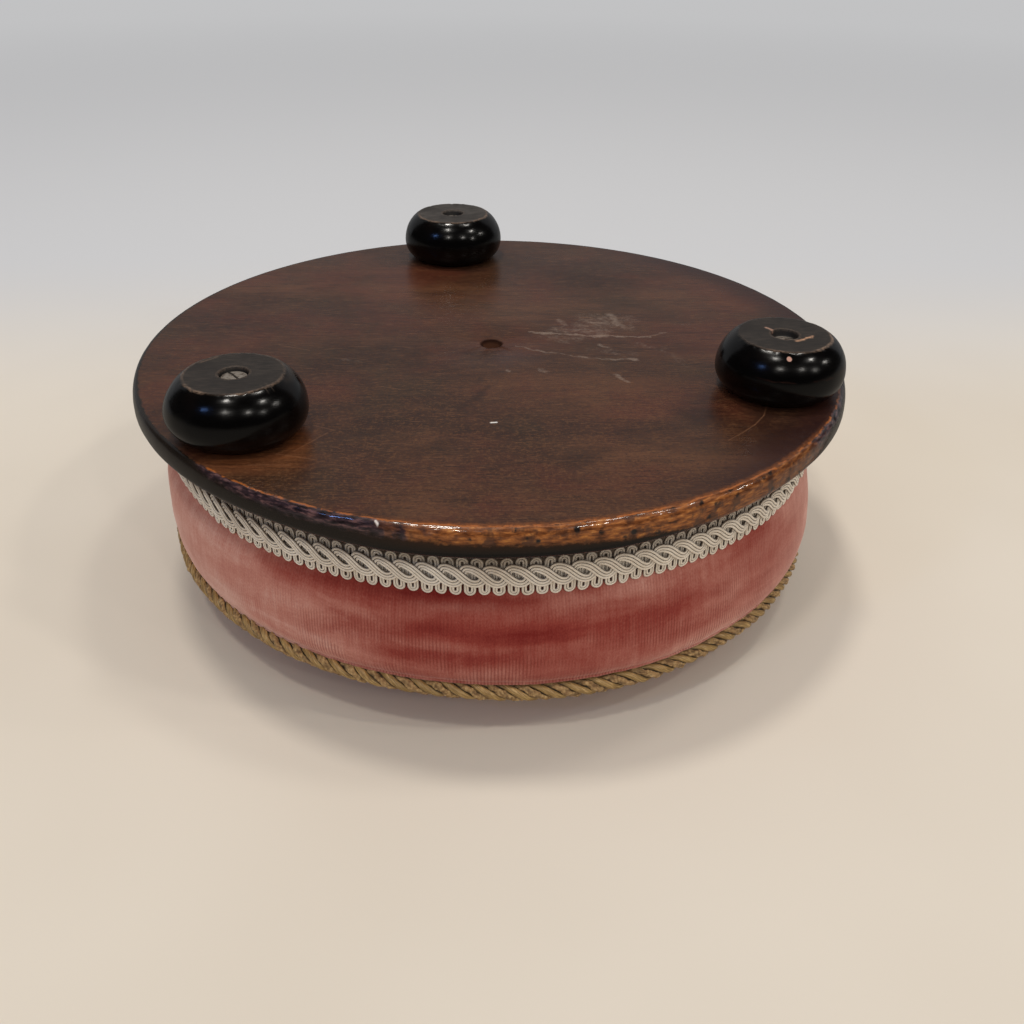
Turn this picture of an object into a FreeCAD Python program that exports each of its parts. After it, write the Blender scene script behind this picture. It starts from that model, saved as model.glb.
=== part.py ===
import FreeCAD, Part
import math
import os

# Round upholstered footstool on three bun feet, lying upside down on its padded crown.
# Lengths are in mm and angles in degrees. Z = 0 is the surface under the crown, at the
# stool's axis, and +Z runs towards the feet. An angle round the axis is counted from +X.

# Base board
board_radius = 150.0
board_thickness = 12.0
board_edge_round_width = 2.6
board_edge_round_height = 6.0
board_inner_round = 3.0
lathe_hole_radius = 4.0
lathe_hole_depth = 5.0
lathe_hole_point = 1.5

# Bun feet
foot_angles = {"left": 221.7, "right": 338.9, "back": 99.5}
foot_inset = 27.3
foot_radius = 25.2
foot_height = 22.7
foot_widest_height = 9.2
foot_neck_radius = 16.9
foot_sole_radius = 18.0
foot_shoulder_radius = 12.0
counterbore_radius = 5.6
counterbore_depth = 2.8

# Foot screws
screw_slot_angles = {"left": 127.6, "right": 24.0, "back": 78.0}
screw_head_radius = 4.8
screw_head_depth = 2.4
screw_shank_radius = 2.3
screw_point_length = 5.0
screw_bite = 10.0
slot_width = 0.9
slot_depth = 1.0
screw_clearance = 0.1

# Bentwood hoop of the drum, closed by a long scarf
board_overhang = 14.6
hoop_height = 65.0
hoop_thickness = 6.0
scarf_angle = 90.0
scarf_length = 60.0
scarf_gap = 0.2
scarf_nail_rows = 2
scarf_nails_in_row = 2
scarf_nail_spacing = 14.0

# Glue blocks in the corner between hoop and board
block_count = 6
block_first_angle = 10.0
block_leg = 18.0
block_toe = 3.0
block_length = 42.0

# Cloth and stuffing
cloth_gap = 0.3
hessian_thickness = 1.0
velvet_thickness = 1.3
crown_rise = 17.0
crown_flat_cut = 0.5
crown_wadding_thickness = 4.0
skirt_height = 15.0
side_bulge = 6.2
side_bulge_height = 16.5
band_edge_drop = 0.3
side_wadding_setback = 6.0

# Cut tacks and nails, with square tapered shanks and rough six-sided heads
tack_head_radius = 2.4
tack_head_thickness = 0.7
tack_width = 1.2
tack_length = 6.0
nail_head_radius = 2.2
nail_head_thickness = 0.7
nail_width = 1.6
nail_length = 4.8
tip_width = 0.3
head_sides = 6
tack_clearance = 0.1
hessian_tack_count = 16
cover_tack_count = 16
cover_tack_height = 9.5
band_tack_count = 20

# Trim
gimp_width = 14.5
gimp_thickness = 1.2
gimp_setback = 6.6
rope_radius = 3.1
rope_height = 3.0
rope_clearance = 0.1
rope_sides = 6

# Straight steps that stand for each round stretch of a turned outline
edge_steps = 3
foot_steps = 3
dome_steps = 4
swell_steps = 3

# Levels along Z, built up from the crown
crown_base_z = crown_rise
hoop_rim_z = crown_base_z + hessian_thickness
board_inner_z = hoop_rim_z + hoop_height
board_sole_z = board_inner_z + board_thickness
rope_z = crown_base_z + rope_height
skirt_top_z = crown_base_z + skirt_height
cover_tack_z = hoop_rim_z + cover_tack_height
gimp_top_z = board_inner_z - gimp_setback
gimp_low_z = gimp_top_z - gimp_width
band_tack_z = (gimp_top_z + gimp_low_z) / 2.0
screw_top_z = board_sole_z + foot_height - counterbore_depth

# Radii from the stool's axis
hoop_radius = board_radius - board_overhang
hoop_bore = hoop_radius - hoop_thickness
hoop_middle = (hoop_radius + hoop_bore) / 2.0
cover_inner = hoop_radius + cloth_gap
cover_outer = cover_inner + velvet_thickness
rope_ring = cover_outer + rope_clearance + rope_radius
foot_circle = board_radius - foot_inset

AXIS = FreeCAD.Vector(0, 0, 1)
ACROSS = FreeCAD.Vector(0, 1, 0)
ORIGIN = FreeCAD.Vector(0, 0, 0)

os.makedirs("parts", exist_ok=True)


# Turned outlines are lists of (radius, z) points

def rounded(centre, start, end, steps, sweep=90.0):
    """Points on an ellipse about centre, from start towards end, a quarter turn away."""
    points = []
    for k in range(steps + 1):
        turn = math.radians(sweep) * k / steps
        points.append(tuple(
            centre[i] + (start[i] - centre[i]) * math.cos(turn) + (end[i] - centre[i]) * math.sin(turn)
            for i in (0, 1)
        ))
    return points


def swelling(low, widest, high):
    """Points of an outline that swells from low to its widest point and back to high."""
    points = []
    for k in range(swell_steps):
        part = 1.0 - k / swell_steps
        points.append((
            widest[0] - (widest[0] - low[0]) * part ** 2,
            widest[1] - (widest[1] - low[1]) * part,
        ))
    for k in range(swell_steps + 1):
        part = k / swell_steps
        points.append((
            widest[0] - (widest[0] - high[0]) * part ** 2,
            widest[1] + (high[1] - widest[1]) * part,
        ))
    return points


def turned(points):
    """The solid that a closed outline sweeps round the stool's axis."""
    corners = [FreeCAD.Vector(radius, 0, z) for radius, z in points]
    return Part.Face(Part.makePolygon(corners + corners[:1])).revolve(ORIGIN, AXIS, 360)


def ring(inner, outer, low, high):
    return turned([(inner, low), (outer, low), (outer, high), (inner, high)])


def disc(radius, low, high):
    return Part.makeCylinder(radius, high - low, FreeCAD.Vector(0, 0, low))


# Copies and places

def spun(shape, angle):
    """A copy of a shape, turned round the stool's axis."""
    copy = shape.copy()
    copy.rotate(ORIGIN, AXIS, angle)
    return copy


def moved(shape, x, z):
    copy = shape.copy()
    copy.translate(FreeCAD.Vector(x, 0, z))
    return copy


def around(shape, count, first=0.0):
    """Count copies of a shape in equal steps round the axis."""
    return Part.makeCompound([spun(shape, first + 360.0 * k / count) for k in range(count)])


def at_foot(shape, name, z):
    """Sets a shape on the axis of one foot."""
    return spun(moved(shape, foot_circle, z), foot_angles[name])


def save(node, shape):
    """Writes one piece, or one group of alike pieces, and prints what it holds."""
    solids = shape.Solids
    piece = solids[0] if len(solids) == 1 else Part.makeCompound(solids)
    if not piece.isValid():
        raise ValueError(node + " is not a valid solid")
    piece.exportStep("parts/" + node + ".step")
    print(node, len(solids), "solids,", round(piece.Volume / 1000.0, 3), "cm3")


# Fasteners

def cut_nail(head_radius, head_thickness, width, length):
    """A cut nail or tack that points along -X, with the underside of its head at x = 0."""
    corners = []
    for side in range(head_sides + 1):
        turn = 2.0 * math.pi * side / head_sides
        corners.append(FreeCAD.Vector(0, head_radius * math.cos(turn), head_radius * math.sin(turn)))
    head = Part.Face(Part.makePolygon(corners)).extrude(FreeCAD.Vector(head_thickness, 0, 0))
    half = width / 2.0
    tip = tip_width / 2.0
    shank = Part.makeWedge(-half, 0, -half, -tip, -tip, half, length, half, tip, tip)
    shank.rotate(ORIGIN, AXIS, 90)
    return head.fuse(shank).removeSplitter()


def tack(gap=0.0):
    return cut_nail(
        tack_head_radius + gap,
        tack_head_thickness + gap,
        tack_width + 2.0 * gap,
        tack_length + gap,
    )


def cover_tacks(gap=0.0):
    """Tacks through the skirt of the crown's cover into the hoop."""
    one = moved(tack(gap), cover_outer, cover_tack_z)
    return around(one, cover_tack_count, 180.0 / cover_tack_count)


def band_tacks(gap=0.0):
    """Tacks through the upper edge of the side band into the hoop."""
    one = moved(tack(gap), cover_outer, band_tack_z)
    return around(one, band_tack_count, 180.0 / band_tack_count)


def rim_tacks(gap=0.0):
    """Tacks through the hessian into the rim of the hoop."""
    upright = tack(gap)
    upright.rotate(ORIGIN, ACROSS, 90)
    return around(moved(upright, hoop_middle, crown_base_z), hessian_tack_count)


def scarf_nails(gap=0.0):
    """Nails through the scarf, spread over the lap and the hoop's height, with sunk heads."""
    one = cut_nail(
        nail_head_radius + gap,
        nail_head_thickness + 2.0 * gap,
        nail_width + 2.0 * gap,
        nail_length + gap,
    )
    seat = hoop_radius - nail_head_thickness - tack_clearance
    nails = []
    for row in range(scarf_nail_rows):
        z = hoop_rim_z + hoop_height * (row + 1.0) / (scarf_nail_rows + 1.0)
        for k in range(scarf_nails_in_row):
            along = (k - (scarf_nails_in_row - 1) / 2.0) * scarf_nail_spacing
            angle = scarf_angle + math.degrees(along / hoop_radius)
            nails.append(spun(moved(one, seat - gap, z), angle))
    return Part.makeCompound(nails)


def foot_screw(gap=0.0):
    """A countersunk screw along -Z, with the top of its head at z = 0."""
    tip = counterbore_depth - foot_height - screw_bite - gap
    return turned([
        (0, 0),
        (screw_head_radius + gap, 0),
        (screw_shank_radius + gap, -screw_head_depth),
        (screw_shank_radius + gap, tip + screw_point_length),
        (0, tip),
    ])


# Base board: a turned disc with a rounded edge, its lathe hole and its screw holes

base_board = turned(
    [(0, board_inner_z)]
    + rounded(
        (board_radius - board_inner_round, board_inner_z + board_inner_round),
        (board_radius - board_inner_round, board_inner_z),
        (board_radius, board_inner_z + board_inner_round),
        edge_steps,
    )
    + rounded(
        (board_radius - board_edge_round_width, board_sole_z - board_edge_round_height),
        (board_radius, board_sole_z - board_edge_round_height),
        (board_radius - board_edge_round_width, board_sole_z),
        edge_steps,
    )
    + [(0, board_sole_z)]
)
lathe_hole = turned([
    (0, board_sole_z),
    (lathe_hole_radius, board_sole_z),
    (lathe_hole_radius, board_sole_z - lathe_hole_depth),
    (0, board_sole_z - lathe_hole_depth - lathe_hole_point),
])
base_board = base_board.cut(lathe_hole)
for foot_name in foot_angles:
    base_board = base_board.cut(at_foot(foot_screw(screw_clearance), foot_name, screw_top_z))
save("base_board", base_board)

# Bun feet: turned, with a flat sole that meets the swell in an arris, a counterbore and a
# countersunk screw hole

shoulder_width = foot_radius - foot_shoulder_radius
arris_angle = math.degrees(math.acos((foot_sole_radius - foot_shoulder_radius) / shoulder_width))
shoulder_height = (foot_height - foot_widest_height) / math.sin(math.radians(arris_angle))
bun = turned(
    [(0, 0)]
    + rounded(
        (foot_neck_radius, foot_widest_height),
        (foot_neck_radius, 0),
        (foot_radius, foot_widest_height),
        foot_steps - 1,
    )
    + rounded(
        (foot_shoulder_radius, foot_widest_height),
        (foot_radius, foot_widest_height),
        (foot_shoulder_radius, foot_widest_height + shoulder_height),
        foot_steps,
        arris_angle,
    )[1:]
    + [
        (counterbore_radius, foot_height),
        (counterbore_radius, foot_height - counterbore_depth),
        (0, foot_height - counterbore_depth),
    ]
)
bored_bun = bun.cut(moved(foot_screw(screw_clearance), 0, foot_height - counterbore_depth))
slot = Part.makeBox(
    4.0 * screw_head_radius,
    slot_width,
    2.0 * slot_depth,
    FreeCAD.Vector(-2.0 * screw_head_radius, -slot_width / 2.0, -slot_depth),
)
foot_screws = []
for foot_name in foot_angles:
    save("foot_" + foot_name, at_foot(bored_bun, foot_name, board_sole_z))
    turned_slot = spun(slot, screw_slot_angles[foot_name] - foot_angles[foot_name])
    foot_screws.append(at_foot(foot_screw().cut(turned_slot), foot_name, screw_top_z))
save("foot_screws", Part.makeCompound(foot_screws))

# Bentwood hoop: its ends are planed to long tapers that lap over each other

scarf_half = math.degrees(scarf_length / 2.0 / hoop_middle)


def on_scarf(radius, angle):
    turn = math.radians(scarf_angle + angle)
    return FreeCAD.Vector(radius * math.cos(turn), radius * math.sin(turn), hoop_rim_z)


def scarf_line(shift):
    """Ends and middle of the planed line across the hoop, seen from above, and run out."""
    run_out = hoop_thickness / 4.0
    return [
        on_scarf(hoop_radius + run_out + shift, -1.25 * scarf_half),
        on_scarf(hoop_middle + shift, 0),
        on_scarf(hoop_bore - run_out + shift, 1.25 * scarf_half),
    ]


near = scarf_line(-scarf_gap / 2.0)
far = scarf_line(scarf_gap / 2.0)
scarf_outline = Part.Wire([
    Part.Arc(*near).toShape(),
    Part.LineSegment(near[2], far[2]).toShape(),
    Part.Arc(*far).toShape(),
    Part.LineSegment(far[0], near[0]).toShape(),
])
scarf_cut = Part.Face(scarf_outline).extrude(FreeCAD.Vector(0, 0, hoop_height))

drum_hoop = ring(hoop_bore, hoop_radius, hoop_rim_z, board_inner_z)
hoop_cuts = [
    scarf_cut,
    scarf_nails(tack_clearance),
    rim_tacks(tack_clearance),
    cover_tacks(tack_clearance),
    band_tacks(tack_clearance),
]
for cutter in hoop_cuts:
    drum_hoop = drum_hoop.cut(cutter)
save("drum_hoop", drum_hoop)
save("hoop_nails", scarf_nails())

# Glue blocks: three-cornered, with blunted toes and a back planed to the hoop's curve


def block(gap=0.0):
    back = hoop_bore + block_toe
    low = board_inner_z - block_leg - gap
    front = hoop_bore - block_leg - gap
    section = [
        (back, board_inner_z),
        (front, board_inner_z),
        (front, board_inner_z - block_toe - gap),
        (hoop_bore - block_toe, low),
        (back, low),
        (back, board_inner_z),
    ]
    length = block_length + 2.0 * gap
    face = Part.Face(Part.makePolygon([FreeCAD.Vector(x, -length / 2.0, z) for x, z in section]))
    return face.extrude(FreeCAD.Vector(0, length, 0)).common(disc(hoop_bore, low, board_inner_z))


save("glue_blocks", around(block(), block_count, block_first_angle))

# Stuffing of the drum, packed round the blocks

drum_stuffing = disc(hoop_bore - cloth_gap, hoop_rim_z, board_inner_z)
drum_stuffing = drum_stuffing.cut(around(block(cloth_gap), block_count, block_first_angle))
save("drum_stuffing", drum_stuffing)

# Hessian drawn flat over the rim, and its tacks

hessian_cover = disc(hoop_radius, crown_base_z, hoop_rim_z).cut(rim_tacks(tack_clearance))
save("hessian_cover", hessian_cover)
save("hessian_tacks", rim_tacks())

# Crown: stuffing, wadding and velvet, each a dome with rounded shoulders


def dome(radius, tip_z):
    """Points of a dome from its foot to its tip, which points down."""
    return rounded((0, crown_base_z), (radius, crown_base_z), (0, tip_z), dome_steps)


cover_tip_z = velvet_thickness
wadding_outer = cover_inner - cloth_gap
wadding_tip_z = cover_tip_z + cloth_gap
wadding_inner = wadding_outer - crown_wadding_thickness
wadding_roof_z = wadding_tip_z + crown_wadding_thickness

tack_head_room = disc(cover_inner, crown_base_z - tack_head_thickness - tack_clearance, crown_base_z)

crown_stuffing = turned(
    dome(wadding_inner - cloth_gap, wadding_roof_z + cloth_gap) + [(0, crown_base_z)]
)
save("crown_stuffing", crown_stuffing.cut(tack_head_room))

crown_wadding = turned(
    dome(wadding_outer, wadding_tip_z) + dome(wadding_inner, wadding_roof_z)[::-1]
)
save("crown_wadding", crown_wadding.cut(tack_head_room))

crown_cover = turned(
    dome(cover_outer, -crown_flat_cut)
    + dome(cover_inner, cover_tip_z)[::-1]
    + [(cover_inner, skirt_top_z), (cover_outer, skirt_top_z)]
)
below_rest = disc(cover_outer, -2.0 * crown_flat_cut, 0)
save("crown_cover", crown_cover.cut(below_rest).cut(cover_tacks(tack_clearance)))
save("cover_tacks", cover_tacks())

# Velvet band: flat on the hoop under the gimp, swelling over its wadding below it, and
# turned in above the rope

fold_z = rope_z + rope_radius + rope_clearance
fold_radius = rope_ring + velvet_thickness
fold_inner = cover_outer + cloth_gap
bulge_z = hoop_rim_z + side_bulge_height
bulge_radius = cover_outer + side_bulge
straight_z = gimp_low_z - cloth_gap
band_top_z = board_inner_z - band_edge_drop


def swell(depth, low_z):
    """Points of the swelling side, a given depth inside the velvet's face."""
    return swelling(
        (fold_radius - depth, low_z),
        (bulge_radius - depth, bulge_z),
        (cover_outer - depth, straight_z),
    )


side_band = turned(
    [(fold_inner, fold_z)]
    + swell(0.0, fold_z)
    + [(cover_outer, band_top_z), (cover_inner, band_top_z)]
    + swell(velvet_thickness, fold_z + velvet_thickness)[::-1]
    + [(fold_inner, fold_z + velvet_thickness)]
)
save("side_band", side_band.cut(band_tacks(tack_clearance)))
save("band_tacks", band_tacks())

# Side wadding: fills the swell and stops short of the tacked edge

pocket_depth = velvet_thickness + cloth_gap
pocket_low_z = fold_z + pocket_depth
wadding_top_z = straight_z - side_wadding_setback
over_tacks = cover_outer + tack_head_thickness + cloth_gap
side_wadding = turned(swell(pocket_depth, pocket_low_z) + [(0, straight_z), (0, pocket_low_z)])
for hollow in (
    disc(cover_inner, pocket_low_z, straight_z),
    disc(over_tacks, pocket_low_z, skirt_top_z + cloth_gap),
    disc(bulge_radius, wadding_top_z, straight_z),
):
    side_wadding = side_wadding.cut(hollow)
save("side_wadding", side_wadding)

# Trim: the gimp lies over the band's tacks, the rope in the seam under the band's fold

gimp_inner = cover_outer + tack_head_thickness + tack_clearance
save("gimp_braid", ring(gimp_inner, gimp_inner + gimp_thickness, gimp_low_z, gimp_top_z))

rope_outline = []
for side in range(rope_sides):
    rope_turn = 2.0 * math.pi * (side + 0.5) / rope_sides
    rope_outline.append((
        rope_ring + rope_radius * math.cos(rope_turn),
        rope_z + rope_radius * math.sin(rope_turn),
    ))
save("rope_trim", turned(rope_outline))
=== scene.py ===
import math

import bmesh
import bpy
import numpy as np
from mathutils import Matrix, Vector, noise


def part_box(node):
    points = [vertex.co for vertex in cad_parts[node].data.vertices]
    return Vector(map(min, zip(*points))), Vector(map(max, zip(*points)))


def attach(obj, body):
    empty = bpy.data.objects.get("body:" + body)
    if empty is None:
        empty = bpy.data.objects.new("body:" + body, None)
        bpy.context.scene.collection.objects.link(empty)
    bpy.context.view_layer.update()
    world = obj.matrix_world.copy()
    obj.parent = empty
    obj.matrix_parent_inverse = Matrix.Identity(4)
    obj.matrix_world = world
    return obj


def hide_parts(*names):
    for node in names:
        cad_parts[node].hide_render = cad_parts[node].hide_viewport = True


# A round footstool lies upside down on its padded crown: turned board and bun feet above,
# velvet drum with a scroll gimp and a twisted rope below. Lengths are in metres, angles in
# radians unless a name says degrees. An angle round the stool's axis is counted from +X.

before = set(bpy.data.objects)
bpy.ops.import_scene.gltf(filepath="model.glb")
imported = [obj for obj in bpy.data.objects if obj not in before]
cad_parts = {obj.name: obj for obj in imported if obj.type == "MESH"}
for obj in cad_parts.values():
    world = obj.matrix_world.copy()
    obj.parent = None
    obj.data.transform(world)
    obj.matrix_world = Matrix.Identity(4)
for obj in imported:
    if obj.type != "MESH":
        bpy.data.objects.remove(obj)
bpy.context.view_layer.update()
BODY = "root"
MM = 0.001
TURN = 2 * math.pi
BACK = math.radians(90)


# Sizes read from the frame

def extent(node):
    """Radius of a node that is centred on the axis, and its lowest and highest level."""
    low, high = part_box(node)
    return (high.x - low.x) / 2, low.z, high.z


def centre_of(node):
    low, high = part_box(node)
    return (low + high) / 2


BOARD_RADIUS, BOARD_LOW, BOARD_TOP = extent("base_board")
_, BAND_LOW, BAND_TOP = extent("side_band")
GIMP_RADIUS, GIMP_LOW, GIMP_TOP = extent("gimp_braid")
ROPE_REACH, ROPE_LOW, ROPE_TOP = extent("rope_trim")
CROWN_RADIUS, CROWN_LOW, SKIRT_TOP = extent("crown_cover")
FOOT_RADIUS, _, FOOT_TOP = extent("foot_left")
FOOT_HEIGHT = FOOT_TOP - BOARD_TOP
ROPE_Z = (ROPE_LOW + ROPE_TOP) / 2
ROPE_RING = ROPE_REACH - (ROPE_TOP - ROPE_LOW) / 2 + 0.1 * MM
FEET = ("left", "right", "back")


# Mesh helpers

def linked(name, data):
    """A new object in the scene."""
    thing = bpy.data.objects.new(name, data)
    bpy.context.scene.collection.objects.link(thing)
    return thing


def mesh_object(name, vertices, faces, uvs=None):
    """A smooth mesh object; uvs holds one (u, v) for each face corner."""
    mesh = bpy.data.meshes.new(name)
    mesh.from_pydata(np.asarray(vertices).tolist(), [], np.asarray(faces).tolist())
    if uvs is not None:
        layer = mesh.uv_layers.new(name="UVMap")
        layer.data.foreach_set("uv", uvs.astype(np.float32).ravel())
    mesh.shade_smooth()
    return linked(name, mesh)


def grid(points, u, v, closed_rows=False, flip=False):
    """Vertices, faces and corner UVs of rows of points that each close on themselves.

    u holds a value for each column and one more. v holds a value for each row, and one more
    where the rows close up as well. flip turns the faces over."""
    rows, columns = points.shape[:2]
    rr, cc = np.indices((rows if closed_rows else rows - 1, columns))
    corner_rows = np.stack([rr, rr, rr + 1, rr + 1], -1).reshape(-1, 4)
    corner_columns = np.stack([cc, cc + 1, cc + 1, cc], -1).reshape(-1, 4)
    if flip:
        corner_rows, corner_columns = corner_rows[:, ::-1], corner_columns[:, ::-1]
    faces = (corner_rows % rows) * columns + corner_columns % columns
    uvs = np.stack([np.asarray(u)[corner_columns], np.asarray(v)[corner_rows]], -1)
    return points.reshape(-1, 3), faces, uvs


def joined(sheets):
    """One set of vertices, faces and UVs from several."""
    vertices, faces, uvs = zip(*sheets)
    starts = np.cumsum([0] + [len(each) for each in vertices])
    faces = [each + start for each, start in zip(faces, starts)]
    return np.concatenate(vertices), np.concatenate(faces), np.concatenate(uvs)


def clean(thing):
    """Merges the points that a turned outline stacks on its axis, and turns faces outwards."""
    merge = 1e-6
    work = bmesh.new()
    work.from_mesh(thing.data)
    bmesh.ops.remove_doubles(work, verts=work.verts, dist=merge)
    bmesh.ops.dissolve_degenerate(work, edges=work.edges, dist=merge)
    bmesh.ops.recalc_face_normals(work, faces=work.faces)
    work.to_mesh(thing.data)
    work.free()
    thing.data.shade_smooth()
    return thing


def give_field(thing, name, values):
    """Stores one number at each point of a mesh, for its material."""
    field = thing.data.attributes.new(name, "FLOAT", "POINT")
    field.data.foreach_set("value", values.ravel().astype(np.float32))


def angles(count):
    """Equal steps round the axis, with the seam at the back."""
    return BACK + TURN * np.arange(count) / count


def turned_points(profile, turns):
    """A profile of (radius, z) points swept round the axis at the given angles."""
    profile = np.asarray(profile)
    radius, z = profile[:, :1], profile[:, 1:]
    return np.stack([radius * np.cos(turns), radius * np.sin(turns), z + 0 * turns], -1)


def along(profile):
    """Length along a profile up to each of its points."""
    steps = np.linalg.norm(np.diff(np.asarray(profile), axis=0), axis=1)
    return np.concatenate([[0.0], np.cumsum(steps)])


def arc(centre, radii, start_degrees, end_degrees, steps):
    """Points on an ellipse's arc, ends included."""
    turns = np.radians(np.linspace(start_degrees, end_degrees, steps + 1))
    return [(centre[0] + radii[0] * math.cos(a), centre[1] + radii[1] * math.sin(a)) for a in turns]


def spread(start, end, steps):
    """Points on a straight line, without its first one."""
    (x0, y0), (x1, y1) = start, end
    return [(x0 + (x1 - x0) * k / steps, y0 + (y1 - y0) * k / steps) for k in range(1, steps + 1)]


def rough(x, y, z, seed):
    """Smooth noise between about -1 and 1, for arrays of places counted in its own cells."""
    x, y, z = np.broadcast_arrays(x, y, z)
    flat = zip(x.ravel(), y.ravel(), z.ravel())
    values = [noise.noise((a + seed, b - seed, c + 0.37 * seed)) for a, b, c in flat]
    return np.array(values).reshape(x.shape)


def rough_at(points, cell, seed):
    """The same noise at points, with its cells in millimetres."""
    return rough(*(points / MM / cell).transpose(2, 0, 1), seed)


def rough_round(turns, reach, z, seed):
    """The same noise round the axis, where it closes up; reach is the circle's radius in cells."""
    return rough(np.cos(turns) * reach, np.sin(turns) * reach, z, seed)


def smooth_step(low, high, value):
    t = np.clip((value - low) / (high - low), 0, 1)
    return t * t * (3 - 2 * t)


def bell(value):
    return np.exp(-(value ** 2))


def unit(vectors):
    return vectors / np.linalg.norm(vectors, axis=-1, keepdims=True)


def tube(path, outward, radius, around, step_u):
    """A closed tube along a closed path. outward is a direction at each point, square enough to
    the path, and radius is one number or one for each point and each step around."""
    ahead = unit(np.roll(path, -1, axis=0) - np.roll(path, 1, axis=0))
    side = unit(np.cross(ahead, outward))
    out = np.cross(side, ahead)
    turn = TURN * np.arange(around) / around
    radius = np.broadcast_to(radius, (len(path), around))
    points = (
        path[:, None, :]
        + (radius * np.cos(turn))[:, :, None] * out[:, None, :]
        + (radius * np.sin(turn))[:, :, None] * side[:, None, :]
    )
    lengths = step_u * np.arange(len(path) + 1)
    return grid(points, np.linspace(0, 1, around + 1), lengths, closed_rows=True)


def dress(thing, material):
    thing.data.materials.clear()
    thing.data.materials.append(material)


def finish_piece(thing, material, slot, *nodes):
    """Dresses a piece, puts it under its body and hides the CAD nodes it stands for; slot is not used."""
    dress(thing, material)
    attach(thing, BODY)
    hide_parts(*nodes)


# Shader helpers

def colour(red, green, blue):
    """Linear colour from the 0 to 255 values of a screen colour."""
    def linear(value):
        share = value / 255
        return share / 12.92 if share <= 0.04045 else ((share + 0.055) / 1.055) ** 2.4
    return (linear(red), linear(green), linear(blue), 1.0)


class Nodes:
    """A node tree. Most methods add a node and return its output socket.

    A value may be a socket, a number, or a soft step: a tuple that starts with a socket and
    goes on as between() takes it."""

    def __init__(self, owner):
        owner.use_nodes = True
        self.tree = owner.node_tree

    def node(self, kind, inputs, output=0, **settings):
        made = self.tree.nodes.new(kind)
        for key, value in settings.items():
            setattr(made, key, value)
        for key, value in inputs.items():
            self.feed(made.inputs[key], value)
        return made.outputs[output]

    def feed(self, socket, value):
        if isinstance(value, tuple) and isinstance(value[0], bpy.types.NodeSocket):
            value = self.between(*value)
        if isinstance(value, bpy.types.NodeSocket):
            self.tree.links.new(value, socket)
        else:
            socket.default_value = value

    def between(self, value, low, high, start=0.0, end=1.0):
        """A soft step: start where value is low, end where it is high."""
        return self.node("ShaderNodeMapRange", {
            "Value": value, "From Min": low, "From Max": high, "To Min": start, "To Max": end,
        }, interpolation_type="SMOOTHSTEP")

    def ray(self, question):
        return self.node("ShaderNodeLightPath", {}, question)


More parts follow.
